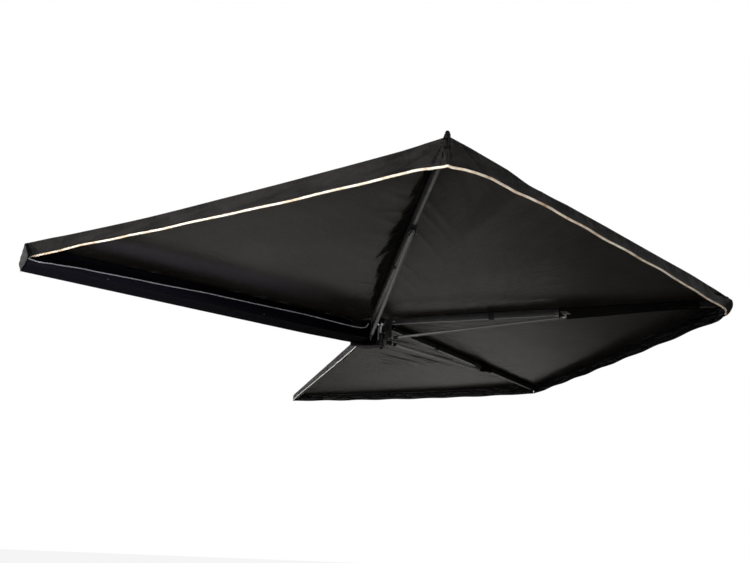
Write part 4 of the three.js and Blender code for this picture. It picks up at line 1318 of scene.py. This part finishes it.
@dataclass
class Arms:
    """Rafters, braces, saddles, collars, knuckles, tip caps and sleeves."""

    brace_reaches: tuple[float, ...] = (1.72, 1.39, 1.39)
    brace_radii: tuple[float, ...] = (0.0135, 0.0115, 0.0115)
    brace_root: float = 0.165
    rafter_low: float = -0.0538
    brace_tip_drop: float = 0.022
    ferrule_span: Span = (0.012, 0.05)
    ferrule_share: float = 1.12
    rivet_radius: float = 0.0072
    rivet_height: float = 0.0035
    rivet_face: float = 0.0164
    tongue_places: tuple[float, ...] = (0.112, 0.123)
    tongue_radius: float = 0.0042
    tongue_face: float = 0.014
    tongue_drop: float = 0.034
    tongue_height: float = 0.0026
    cap_place: Triple = (-0.041, -0.0136, -0.042)
    cap_height: Triple = (0.0003, -0.0048, 0.0)
    cap_radius: float = 0.0072
    sleeve_spans: tuple[tuple[int, float, float], ...] = ((1, 1.36, 2.3), (2, 1.42, 1.62))
    sleeve_half: float = 0.0172
    sleeve_depths: Span = (0.082, 0.056)
    sleeve_top: float = 0.0035
    sleeve_wrinkle: float = 0.09
    sleeve_wave: float = 0.06
    sleeve_corner: float = 0.6
    strip_folds: int = 30
    strip_span: Span = (0.3, 2.44)
    strip_widths: Table = (
        (0.3, 0.02), (0.75, 0.06), (1.1, 0.09), (1.41, 0.108), (1.68, 0.092), (1.86, 0.07), (2.03, 0.05), (2.23, 0.045),
        (2.44, 0.02),
    )
    strip_side: float = 0.014
    strip_drop: float = 0.010
    strip_arch: float = 0.006
    strip_edge: Wave = Wave(0.5, (9.0, 1.0), 51.0)
    strip_frays: Wave = Wave(0.2, (31.0, 1.0), 52.0)
    strip_crumple: Wave = Wave(0.006, (42.0, 3.0), 55.0)
    fold_places: Wave = Wave(0.05, (1.7, 1.0), 61.0)
    fold_lengths: Wave = Wave(0.26, (2.3, 1.0), 62.0)
    fold_reaches: Wave = Wave(0.5, (3.1, 1.0), 63.0)
    fold_crumple: Wave = Wave(0.004, (40.0, 2.0), 64.0)
    fold_half: float = 0.013
    fold_span: Span = (0.5, 2.38)
    fold_length: float = 0.34
    fold_reach: float = 0.86
    fold_side: float = 0.012
    fold_drop: float = 0.011
    fold_arch: float = 0.005

    def rafter(self, arm: int) -> None:
        """Makes a rafter, with its section as its UV map."""
        piece = rounded(f"arm_{arm + 1}_rafter", Finishes.RAFTER, 0.0012, LAYOUT.body(arm))
        back = LAYOUT.rafter_frame(arm).inverted()
        mesh = piece.data
        for loop, spot in zip(mesh.loops, mesh.uv_layers[0].data):
            local = back @ mesh.vertices[loop.vertex_index].co
            spot.uv = (local.y, local.z)

    def brace(self, arm: int) -> None:
        """Makes a brace as a round tube with a pressed end plug, and the rivets at its outer end."""
        body, name = LAYOUT.body(arm), f"arm_{arm + 1}_brace"
        near = LAYOUT.arm_frame(arm) @ Vector((LAYOUT.rafter_start, LAYOUT.offset(arm), -self.brace_root))
        outer = LAYOUT.rafter_frame(arm) @ Vector((self.brace_reaches[arm], 0, self.rafter_low - self.brace_tip_drop))
        along = (outer - near).normalized()
        radius = self.brace_radii[arm]
        # The third brace takes the paler copy of the tube finish as painted light.
        finish = Finishes.BRACE if arm < 2 else Finishes.LIT_BRACE
        Shape().bar(radius, near, outer + along * radius, 32, rim=0.0008).rigid(f"{name}_tube", finish, body, name)
        start, end = (near + along * distance for distance in self.ferrule_span)
        ferrule = Shape().bar(radius * self.ferrule_share, start, end, 32, rim=0.001)
        ferrule.rigid(f"{name}_ferrule", Finishes.STEEL, body)
        rivets = Shape()
        for side in (-LAYOUT.side(arm), LAYOUT.side(arm)):
            face = outer + side * self.rivet_face
            rivets.bar(self.rivet_radius, face, face + side * self.rivet_height, 20, rim=0.0012)
        rivets.rigid(f"{name}_rivets", Finishes.ZINC, body)

    def tongue_rivets(self, arm: int) -> None:
        """Makes the two rivets that hold the rafter on its knuckle."""
        shape = Shape()
        place = LAYOUT.rafter_frame(arm)
        for distance in self.tongue_places:
            for way in (-1, 1):
                face = place @ Vector((distance, way * self.tongue_face, -self.tongue_drop))
                out = place.to_3x3() @ Vector((0, way * self.tongue_height, 0))
                shape.bar(self.tongue_radius, face, face + out, 18, rim=0.0009)
        shape.rigid(f"arm_{arm + 1}_tongue_rivets", Finishes.ZINC, LAYOUT.body(arm))

    def lug_cap(self) -> None:
        """Makes the cap of the screw in the first knuckle's lug, near-white as a painted glint."""
        face = LAYOUT.pin + Vector(self.cap_place)
        shape = Shape().bar(self.cap_radius, face, face + Vector(self.cap_height), 22, rim=0.0014)
        shape.rigid("arm_1_lug_cap", Finishes.GLINT_CAP, "arm_1")

    def sleeve(self, arm: int, start: float, end: float) -> None:
        """Makes the loose cloth sleeve round a rafter's outer part, near-black as painted shade."""
        place = LAYOUT.rafter_frame(arm)

        def squared(value: float) -> float:
            """Pushes a sine outwards, so that a circle becomes a rounded square."""
            return math.copysign(abs(value) ** self.sleeve_corner, value)

        def skin(u: float, v: float) -> Vector:
            """A point on the sleeve, u along it and v round it."""
            distance = lerp(start, end, u)
            angle = 2 * math.pi * v
            across, up = math.sin(angle), math.cos(angle)
            depth = lerp(*self.sleeve_depths, smooth(0.0, 0.85, u))
            wrinkle = 1 + self.sleeve_wrinkle * waver(distance * 16.0, up * 1.4, across * 1.4)
            wrinkle += self.sleeve_wave * math.sin(distance * 46 + 2 * angle)
            hang = (1 - squared(up)) / 2
            return place @ Vector((distance, squared(across) * self.sleeve_half * wrinkle,
                                   -self.sleeve_top - depth * hang * (0.94 + 0.06 * wrinkle)))

        steps = int((end - start) * 110)
        shape = Shape().grid(steps, 32, skin, (end - start, 0.24), weld=True).outward()
        # The sleeve takes the near-black cloth: painted shade.
        thicken(shape.rigid(f"arm_{arm + 1}_sleeve", Finishes.SHADED_CLOTH, LAYOUT.body(arm)), 0.0012)

    def loose_strip(self) -> None:
        """Makes the crumpled strip of loose cloth that hangs beside the first rafter, under the canopy; it is
        near-black, painted shade of the crumples there.
        """
        side = LAYOUT.side(0)

        def hung(distance: float, out: float, hang: float) -> Vector:
            """A point so far from the hub, so far from the rafter and so far under the cloth."""
            return LAYOUT.hem(0, LAYOUT.hem_share(0, distance)) - side * out - UP * hang

        def place(u: float, v: float) -> Vector:
            """A point on the strip, u away from the rafter and v along it."""
            distance = lerp(*self.strip_span, v)
            frayed = 0.5 + self.strip_edge.at(distance, 0.0) + self.strip_frays.at(distance, 2.0)
            width = tabled(self.strip_widths, distance) * frayed
            crumple = self.strip_crumple.at(distance + 0.5 * u * width, u)
            hang = self.strip_drop + self.strip_arch * math.sin(math.pi * u) + abs(crumple)
            return hung(distance, self.strip_side + u * width, hang)

        shape = Shape().grid(16, 300, place, (0.09, 2.2))
        for number in range(self.strip_folds):
            middle = lerp(*self.fold_span, (number + 0.5) / self.strip_folds) + self.fold_places.at(number, 0)
            length = self.fold_length + self.fold_lengths.at(number, 4)
            reach = tabled(self.strip_widths, middle) * (self.fold_reach + self.fold_reaches.at(number, 8))

            def fold(u: float, v: float, middle: float = middle, length: float = length,
                     reach: float = reach) -> Vector:
                """A point on one slanting fold, u across it and v towards the hub and away from the rafter."""
                distance = middle + length * (0.5 - v)
                half = self.fold_half * math.sin(math.pi * min(1.0, 0.2 + 0.8 * v)) ** 0.7
                out = self.fold_side + reach * v ** 1.3 + half * (2 * u - 1) + self.fold_crumple.at(distance, u)
                return hung(distance, out, self.fold_drop + self.fold_arch * math.sin(math.pi * u))

            shape.grid(5, 24, fold, (0.034, length))
        back = LAYOUT.arm_frame(0).inverted()
        for vert in shape.bm.verts:
            local = back @ vert.co
            vert[shape.share] = 1 - max(0.0, math.atan2(-local.y, local.x)) / LAYOUT.steps[0]
        # The strip takes the near-black cloth: painted shade.
        bend(thicken(shape.object("arm_1_loose_strip", Finishes.SHADED_CLOTH), 0.001, 0.0), 0, 0.5)

    @staticmethod
    def tip_boot() -> None:
        """Makes the rubber boot on the first arm's tip, which stands above the cloth's corner."""
        low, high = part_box("arm_1_tip_cap")
        top = Vector(((low.x + high.x) / 2, (low.y + high.y) / 2, high.z))
        shift = Vector((0.006, -0.004, 0))
        waist = top - UP * 0.006 + shift * 0.7
        shape = Shape().bar(0.0165, top - UP * 0.034, waist, 28, 0.0145, 0.002)
        shape.bar(0.0142, waist, top + UP * 0.005 + shift, 28, 0.0105, 0.005)
        shape.rigid("arm_1_tip_boot", Finishes.PLASTIC, "arm_1")

    def build(self) -> None:
        """Makes every arm."""
        for arm in range(LAYOUT.arms):
            body = LAYOUT.body(arm)
            name = f"arm_{arm + 1}"
            self.rafter(arm)
            rounded(f"{name}_knuckle", Finishes.KNUCKLE, 0.0010, body)
            rounded(f"{name}_collar", Finishes.STEEL, 0.0006, body)
            rounded(f"{name}_tip_cap", Finishes.PLASTIC, 0.0012, body, 28.0)
            self.tongue_rivets(arm)
            if arm < len(self.brace_reaches):
                rounded(f"{name}_brace_saddle", Finishes.STEEL if arm == 0 else Finishes.TUBE, 0.0006, body)
                self.brace(arm)
        for span in self.sleeve_spans:
            self.sleeve(*span)
        self.loose_strip()
        self.tip_boot()
        self.lug_cap()


# The hub and the rail


@dataclass
class Hub:
    """The bracket, the pin and its fasteners."""

    boot_x: Table = ((0, -0.118), (0.2, -0.096), (0.5, -0.064), (0.8, -0.034), (1, -0.0165))
    boot_y: Table = ((0, 0.121), (0.2, 0.118), (0.5, 0.104), (0.8, 0.074), (1, 0.044))
    boot_creases: Wave = Wave(0.0016, (3.0, 6.0), 95.0)
    boot_inset: float = 0.0075
    boot_width: float = 0.125
    socket_radius: float = 0.0042

    def boot(self) -> None:
        """Makes the soft boot that closes the hub's back, between the web and the pin."""
        low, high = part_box("hub_bracket")

        def place(u: float, v: float) -> Vector:
            """A point on the boot, u towards the pin and v upwards."""
            crease = self.boot_creases.at(u, v) * math.sin(math.pi * u)
            height = lerp(low.z + self.boot_inset, high.z - self.boot_inset, v) - LAYOUT.pin.z
            return LAYOUT.pin + Vector((tabled(self.boot_x, u), tabled(self.boot_y, u) + crease, height))

        piece = Shape().grid(24, 30, place, (self.boot_width, 0.2)).rigid("hub_boot", Finishes.BAG, "base")
        thicken(piece, 0.0012, 0.0)
        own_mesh(piece)

    def bolt_sockets(self) -> None:
        """Makes the hub bolts' hexagon sockets as flat black discs: painted shade where the recesses are."""
        shape = Shape()
        for number in (1, 2):
            low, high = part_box(f"hub_bolt_{number}")
            middle = Vector(((low.x + high.x) / 2, low.y, (low.z + high.z) / 2))
            shape.bar(self.socket_radius, middle + Vector((0, 0.001, 0)), middle - Vector((0, 0.0003, 0)), 6)
        shape.outward().rigid("hub_bolt_sockets", Finishes.PLASTIC, "base")

    def build(self) -> None:
        """Makes the hub."""
        rounded("hub_bracket", Finishes.STEEL, 0.0012, "base")
        rounded("pivot_pin", Finishes.STEEL, 0.0008, "base", 40.0)
        rounded("pin_washer", Finishes.ZINC, 0.0004, "base", 40.0)
        rounded("pin_nut", Finishes.STEEL, 0.0009, "base")
        for number in (1, 2):
            rounded(f"hub_bolt_{number}", Finishes.ZINC, 0.0006, "base", 40.0)
        self.bolt_sockets()
        self.boot()


@dataclass
class Rail:
    """The mounting rail, its caps, the rack brackets and the stud plates with their nuts."""

    nut_radius: float = 0.0075
    nut_height: float = 0.0068
    washer_radius: float = 0.0092
    washer_height: float = 0.0016
    stud_pitch: float = 0.036
    leg_thickness: float = 0.0063

    def nuts(self, number: int) -> None:
        """Makes the nuts and washers on one bracket's studs."""
        low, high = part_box(f"bracket_stud_plate_{number}")
        rail_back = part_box(f"rack_bracket_{number}")[0].y
        nuts, washers = Shape(), Shape()
        for side in (-1, 1):
            x = (low.x + high.x) / 2 + side * self.stud_pitch / 2
            face = Vector((x, rail_back + self.leg_thickness, (low.z + high.z) / 2))
            top = face + Vector((0, self.washer_height, 0))
            washers.bar(self.washer_radius, face, top, 24, rim=0.0003)
            nuts.bar(self.nut_radius, top, top + Vector((0, self.nut_height, 0)), 6, rim=0.0006)
        nuts.rigid(f"bracket_nuts_{number}", Finishes.ZINC, "base")
        washers.rigid(f"bracket_washers_{number}", Finishes.ZINC, "base")

    def build(self) -> None:
        """Makes the rail and what holds it."""
        rounded("mounting_rail", Finishes.RAIL, 0.0006, "base")
        for end in ("near", "far"):
            rounded(f"rail_cap_{end}", Finishes.PLASTIC, 0.0012, "base")
        rounded("canopy_keder", Finishes.CANOPY, 0.0004, "base", 40.0)
        for number in (1, 2, 3):
            rounded(f"rack_bracket_{number}", Finishes.STEEL, 0.0010, "base")
            rounded(f"bracket_stud_plate_{number}", Finishes.ZINC, 0.0005, "base", 40.0)
            self.nuts(number)


# The bag


@dataclass
class Bag:
    """The travel bag: back and floor in one shell, the front lip, the far end, the rolled lid and its straps."""

    depth: float = 0.188
    front: float = 0.052
    near_end: float = 0.152
    web_back: float = 0.1257
    sheet: float = 0.0015
    end_share: float = 0.79
    corner: float = 0.016
    floor_shares: Table = ((0, 1.0), (0.06, 1.03), (0.2, 1.062), (0.5, 1.064), (0.8, 1.062), (1, 1.06))
    lip_shares: Table = (
        (0, 0.35), (0.004, 0.47), (0.012, 0.57), (0.03, 0.63), (0.055, 0.645), (0.225, 0.612),
        (0.52, 0.665), (0.7, 0.755), (0.87, 0.825), (0.94, 0.89), (0.975, 0.935), (1, 0.9),
    )
    studs: tuple[float, ...] = (0.36, 0.805)
    end_slant: float = 0.046
    end_lift: float = 0.026
    end_lift_span: Span = (0.986, 1.0)
    sag: Wave = Wave(0.0022, (4.0, 5.0), 60.0)
    belly: Wave = Wave(0.0035, (3.4, 1.6), 70.0)
    lip_wave: Wave = Wave(0.0016, (11.0, 3.0), 72.0)
    end_creases: Wave = Wave(0.004, (26.0, 5.0), 80.0)
    near_creases: Wave = Wave(0.005, (22.0, 4.0), 84.0)
    roll_wave: Wave = Wave(0.0007, (5.0, 1.0), 90.0)
    roll_turns: float = 3.2
    roll_core: float = 0.42
    piping_radius: float = 0.0038
    piping_set: float = 0.003
    welt_radius: float = 0.0026
    welt_lift: float = 0.0012
    binding_radius: float = 0.0034
    binding_length: float = 0.4
    shell_height: float = 0.364
    near_height: float = 0.17
    lid_width: float = 0.29
    lid_thickness: float = 0.0014
    stud_lift: float = 0.014
    buckle: Triple = (0.034, 0.022, 0.004)
    buckle_bar: Triple = (0.02, 0.012, 0.0025)
    buckle_step: float = 0.0026

    @property
    def length(self) -> float:
        """The bag's length, from its near end to its far one."""
        return LAYOUT.rail_end - self.near_end

    def x_at(self, place: float) -> float:
        """The X of a place along the bag, from its near end."""
        return LAYOUT.pin.x - lerp(self.near_end, LAYOUT.rail_end, place)

    def floor_z(self, place: float) -> float:
        """The floor's height there."""
        return LAYOUT.pin.z - self.depth * tabled(self.floor_shares, place)

    def lip_z(self, place: float) -> float:
        """The lip's upper edge there."""
        return LAYOUT.pin.z - self.depth * tabled(self.lip_shares, place)

    def shell(self) -> None:
        """Makes the back and floor as one soft sheet with a rounded corner."""
        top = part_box("bag_back")[1].z
        back = LAYOUT.pin.y + self.web_back - self.sheet / 2
        front = LAYOUT.pin.y - self.front + 0.002
        web = LAYOUT.pin.y + self.web_back - 0.0063

        def wall(x: float, down: float, low: float, sag: float) -> Vector:
            """A point on the back wall, which curves forwards into the floor."""
            curve = self.corner * 0.3 * smooth(0.85, 1.0, down)
            y = back - curve - 0.0012 * math.sin(math.pi * down) + min(0.0, sag)
            return Vector((x, y, lerp(top, low + self.sheet, down)))

        def place(u: float, v: float) -> Vector:
            """A point on the shell, u along it and v from the top of the back to the front of the floor."""
            along = lerp(0.026 if v < 0.5 else 0.0, 1.0, u)
            low = self.floor_z(along)
            over = (v - 0.5) / 0.5
            x = self.x_at(along) + 0.02 * smooth(0.93, 1.0, along) * smooth(0.34, 0.5, v)
            x += self.end_slant * 0.6 * smooth(0.95, 1.0, along) * max(0.0, over)
            sag = self.sag.at(x, v)
            if v < 0.5:
                return wall(x, v / 0.5, low, sag)
            rise = self.corner * 0.3 * (1 - smooth(0.0, 0.12, over))
            y = lerp(back - self.corner * 0.3, front, over)
            if along < 0.03:
                y = min(y, web)
            corner = self.end_lift * smooth(*self.end_lift_span, along) * smooth(0.7, 1.0, over)
            return Vector((x, y, low + 0.0005 + rise + corner + max(0.0, sag) * math.sin(math.pi * over)))

        shape = Shape().grid(220, 40, place, (self.length, 0.36))
        piece = thicken(shape.rigid("bag_shell", Finishes.BAG, "base", "bag_back", "bag_floor"), self.sheet, 0.0)

    def lip_point(self, u: float, v: float, proud: float = 0.0) -> Vector:
        """A point on the front lip, u along it and v from its foot up."""
        x = self.x_at(u * (1 - self.end_slant / self.length))
        low = self.floor_z(u) - self.sheet + self.end_lift * smooth(*self.end_lift_span, u)
        belly = 0.004 * math.sin(math.pi * v) + self.belly.at(x, v)
        out = (belly + self.lip_wave.at(x, v)) * smooth(0.0, 0.25, v)
        return Vector((x, LAYOUT.pin.y - self.front - out - proud, lerp(low, self.lip_z(u), v)))

    def lip(self) -> None:
        """Makes the front lip and its piping, and the welt at its foot."""
        welt = Shape().tube(lambda u: self.lip_point(u, 0.0) + UP * self.welt_lift, self.welt_radius, self.length,
                            200, 8)
        welt.rigid("bag_foot_welt", Finishes.WEBBING, "base")
        lip = Shape().grid(260, 16, self.lip_point, (self.length, self.depth * 0.4))
        lip = thicken(lip.rigid("bag_lip", Finishes.BAG, "base", "bag_front"), self.sheet)
        shape = Shape().tube(lambda u: self.lip_point(u, 1.0, self.piping_set), self.piping_radius, self.length, 240)
        piping = shape.rigid("bag_lip_piping", Finishes.BAG_PIPING, "base", "bag_piping")
        for piece in (lip, piping):
            self.floor_z(0.5)
            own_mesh(piece)

    def lip_studs(self) -> None:
        """Makes the small studs along the lip's foot."""
        shape = Shape()
        for place in self.studs:
            spot = self.lip_point(place, 0.5) + Vector((0, 0.0005, 0))
            spot.z = self.floor_z(place) + self.stud_lift
            head = spot - Vector((0, 0.0022, 0))
            shape.bar(0.0048, spot, head, 20, rim=0.0008)
            shape.bar(0.0026, head, spot - Vector((0, 0.0034, 0)), 16, rim=0.0005)
        shape.rigid("bag_studs", Finishes.TUBE, "base")

    def end(self) -> None:
        """Makes the far end as a soft panel with a bound edge."""
        low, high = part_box("bag_end")
        rail_front = LAYOUT.pin.y + 0.126
        front_top = LAYOUT.pin.z - self.depth * self.end_share

        def place(u: float, v: float) -> Vector:
            """A point on the end panel, u from front to back and v upwards."""
            y = lerp(low.y, high.y, u)
            top = high.z if y > rail_front else lerp(front_top, high.z, (y - low.y) / (rail_front - low.y))
            bulge = 0.006 * math.sin(math.pi * u) * math.sin(math.pi * v)
            crease = self.end_creases.at(y, v) * math.sin(math.pi * v)
            inward = self.end_slant * (1 - u) ** 1.2 + 0.02 * (1 - smooth(0.0, 0.34, v)) * u
            foot = lerp(low.z + 0.02 * (1 - smooth(0.0, 0.25, u)), top, v)
            return Vector((high.x - 0.0004 + inward - bulge - crease, y, foot))

        # The end panel takes a paler copy of the bag's finish as painted light.
        shape = Shape().grid(48, 36, place, (high.y - low.y, high.z - low.z))
        thicken(shape.rigid("bag_end_panel", Finishes.LIT_BAG_END, "base", "bag_end"), self.sheet)

        def rim(u: float) -> Vector:
            """The binding's middle, up the front and over the top."""
            return place(0.0, u / 0.25) if u < 0.25 else place((u - 0.25) / 0.75, 1.0)

        binding = Shape().tube(rim, self.binding_radius, self.binding_length, 90, 8)
        binding.rigid("bag_end_binding", Finishes.WEBBING, "base")

    def near_end_panel(self) -> None:
        """Makes the soft near end, between the lip and the hub's web."""
        front = LAYOUT.pin.y - self.front
        back = LAYOUT.pin.y + self.web_back - 0.014
        low = self.floor_z(0.0)

        def place(u: float, v: float) -> Vector:
            """A point on the panel, u from the lip to the web and v upwards."""
            y = lerp(front, back, u)
            top = lerp(self.lip_z(0.0) + 0.02, LAYOUT.pin.z - 0.012, smooth(0.0, 0.7, u))
            crease = self.near_creases.at(y, v) * math.sin(math.pi * u)
            return Vector((self.x_at(0.0) + 0.001 + 0.028 * smooth(0.0, 0.8, u) + crease, y, lerp(low, top, v)))

        size = (back - front, self.near_height)
        piece = Shape().grid(30, 24, place, size).rigid("bag_near_end", Finishes.BAG, "base")
        thicken(piece, self.sheet, 0.0)
        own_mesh(piece)

    @staticmethod
    def around(middle: Vector, x: float, radius: float, angle: float) -> Vector:
        """A point so far round the roll's axis."""
        return Vector((x, middle.y + radius * math.cos(angle), middle.z + radius * math.sin(angle)))

    def lid(self) -> None:
        """Makes the lid rolled up behind the rail, as a wound sheet."""
        low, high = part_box("bag_lid")
        middle = (low + high) / 2
        outer = (high.z - low.z) / 2

        def place(u: float, v: float) -> Vector:
            """A point on the rolled sheet, u along it and v round and inwards."""
            angle = 2 * math.pi * self.roll_turns * v + 0.7
            x = lerp(low.x, high.x, u)
            radius = min(outer, outer * lerp(1.0, self.roll_core, v) + self.roll_wave.at(x, angle))
            return self.around(middle, x, radius, angle)

        shape = Shape().grid(120, 120, place, (high.x - low.x, 0.26))
        piece = thicken(shape.rigid("bag_lid_roll", Finishes.BAG, "base", "bag_lid"), self.lid_thickness, 1.0)

    def strap(self, number: int) -> None:
        """Makes one webbing strap round the rolled lid, with its buckle."""
        name = f"lid_strap_{number}"
        low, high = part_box(name)
        middle = (low + high) / 2
        radius = (high.z - low.z) / 2

        def place(u: float, v: float) -> Vector:
            """A point on the strap's outer face, u along X and v round the roll."""
            return self.around(middle, lerp(low.x, high.x, u), radius, -2 * math.pi * v)

        shape = Shape().grid(8, 48, place, (high.x - low.x, 2 * math.pi * radius), weld=True).outward()
        thicken(shape.rigid(f"lid_strap_band_{number}", Finishes.WEBBING, "base", name), 0.0015)
        face = Matrix.Translation((middle.x, middle.y, middle.z + radius))
        buckle = Shape().block(self.buckle, face, 0.0012)
        buckle.block(self.buckle_bar, face @ Matrix.Translation((0, 0, self.buckle_step)), 0.0008)
        buckle.rigid(f"lid_strap_buckle_{number}", Finishes.PLASTIC, "base")

    def build(self) -> None:
        """Makes the whole bag."""
        self.shell()
        self.lip()
        self.lip_studs()
        self.end()
        self.near_end_panel()
        self.lid()
        for number in (1, 2, 3):
            self.strap(number)


# The studio


@dataclass
class Studio:
    """The camera, the floor, the world and the lamps."""

    eye: Triple = (-1.005, -4.2473, -1.6138)
    yaw: float = 29.178
    pitch: float = 23.914
    roll: float = 2.542
    lens: float = 29.73
    sensor: float = 36.0
    floor_z: float = -2.1
    floor_size: float = 80.0
    floor_colour: Triple = (0.8, 0.79, 0.77)
    floor_roughness: float = 0.9
    floor_specular: float = 0.1
    floor_white: float = 0.9
    white: tuple[float, float, float, float] = (1.0, 1.0, 1.0, 1.0)
    sky: float = 0.08
    lamps: tuple[tuple[str, Triple, Triple, float, float], ...] = (
        ("key", (-6.2, -4.6, 4.6), (0.6, -0.8, 0.0), 3.0, 180.0),
        ("front", (-1.5, -6.5, -0.9), (1.2, -0.4, 0.0), 2.0, 110.0),
        ("left", (-2.6, -2.2, -1.7), (-0.3, -0.9, 0.0), 1.0, 130.0),
    )
    pool_size: float = 0.8
    pool_height: float = 2.3
    pool_spread: float = 64.0
    pools: tuple[Triple, ...] = (
        (1.3, 3.6, 48.0), (4.7, 4.1, 41.0), (7.5, 5.1, 47.0), (6.9, 9.4, 19.0), (-0.7, 5.0, 17.0),
    )

    def camera(self) -> None:
        """Makes the camera at the viewing angle of the photograph."""
        yaw, pitch, roll = (math.radians(angle) for angle in (self.yaw, self.pitch, self.roll))
        ahead = Vector((math.sin(yaw) * math.cos(pitch), math.cos(yaw) * math.cos(pitch), math.sin(pitch)))
        right = Vector((math.cos(yaw), -math.sin(yaw), 0))
        over = right.cross(ahead)
        side = right * math.cos(roll) + over * math.sin(roll)
        top = over * math.cos(roll) - right * math.sin(roll)
        turn = Matrix((side, top, -ahead)).transposed().to_4x4()
        data = bpy.data.cameras.new("camera")
        data.lens = self.lens
        data.sensor_width = self.sensor
        data.clip_end = 200.0
        camera = bpy.data.objects.new("camera", data)
        camera.matrix_world = Matrix.Translation(self.eye) @ turn
        bpy.context.scene.collection.objects.link(camera)
        bpy.context.scene.camera = camera

    @staticmethod
    def mix(tree: bpy.types.NodeTree, share: bpy.types.NodeSocket, first: bpy.types.Node, last: bpy.types.Node,
            end: str) -> None:
        """Mixes two shaders by a share, into the tree's end node."""
        made = tree.nodes.new("ShaderNodeMixShader")
        for number, output in enumerate((share, first.outputs[0], last.outputs[0])):
            tree.links.new(output, made.inputs[number])
        tree.links.new(made.outputs[0], tree.nodes[end].inputs["Surface"])

    def floor(self) -> None:
        """Makes the pale floor, far below the awning, which the camera sees as mostly white."""
        bm = bmesh.new()
        bmesh.ops.create_grid(bm, x_segments=1, y_segments=1, size=self.floor_size / 2,
                              matrix=Matrix.Translation((0, 0, self.floor_z)))
        mesh = bpy.data.meshes.new("floor")
        bm.to_mesh(mesh)
        bm.free()
        shader = Shader("floor")
        shader.fix(Base_Color=(*self.floor_colour, 1), Roughness=self.floor_roughness,
                   Specular_IOR_Level=self.floor_specular)
        white = shader.tree.nodes.new("ShaderNodeEmission")
        seen = shader.node("ShaderNodeLightPath", {}, {}, "Is Camera Ray") * self.floor_white
        self.mix(shader.tree, seen.output, shader.surface, white, "Material Output")
        mesh.materials.append(shader.material)
        floor = bpy.data.objects.new("floor", mesh)
        bpy.context.scene.collection.objects.link(floor)

    def world(self) -> None:
        """Makes an even light all round, seen as white."""
        world = bpy.data.worlds.new("world")
        world.use_nodes = True
        tree = world.node_tree
        light = tree.nodes["Background"]
        light.inputs["Color"].default_value = self.white
        light.inputs["Strength"].default_value = self.sky
        seen = tree.nodes.new("ShaderNodeBackground")
        seen.inputs["Color"].default_value = self.white
        rays = tree.nodes.new("ShaderNodeLightPath")
        total = rays.outputs["Is Camera Ray"]
        for name in ("Is Glossy Ray", "Is Transmission Ray"):
            add = tree.nodes.new("ShaderNodeMath")
            tree.links.new(total, add.inputs[0])
            tree.links.new(rays.outputs[name], add.inputs[1])
            total = add.outputs[0]
        self.mix(tree, total, light, seen, "World Output")
        bpy.context.scene.world = world

    def lamp(self, name: str, place: Triple, target: Triple, size: float,
             power: float, spread: float = 180.0) -> None:
        """Makes a soft square lamp. A spread under 180 degrees narrows its beam."""
        data = bpy.data.lights.new(name, "AREA")
        data.size = size
        data.energy = power
        data.spread = math.radians(spread)
        lamp = bpy.data.objects.new(name, data)
        lamp.location = place
        lamp.rotation_euler = (Vector(target) - Vector(place)).to_track_quat("-Z", "Y").to_euler()
        bpy.context.scene.collection.objects.link(lamp)

    def build(self) -> None:
        """Sets the stage."""
        bpy.context.scene.view_settings.view_transform = "Standard"
        self.camera()
        self.floor()
        self.world()
        for lamp in self.lamps:
            self.lamp(*lamp)
        for number, (x, y, power) in enumerate(self.pools, 1):
            self.lamp(f"pool_{number}", (x, y, self.pool_height), (x, y, self.floor_z), self.pool_size, power,
                      self.pool_spread)


def main() -> None:
    """Builds the awning in order."""
    logging.basicConfig(level=logging.INFO, format="%(name)s: %(message)s")
    for assembly in (Studio(), Canopy(), Arms(), Valances(), EndFlap(), Hub(), Rail(), Bag()):
        LOG.info("%s", type(assembly).__name__)
        assembly.build()
    bpy.context.view_layer.update()


if __name__ == "__main__":
    main()
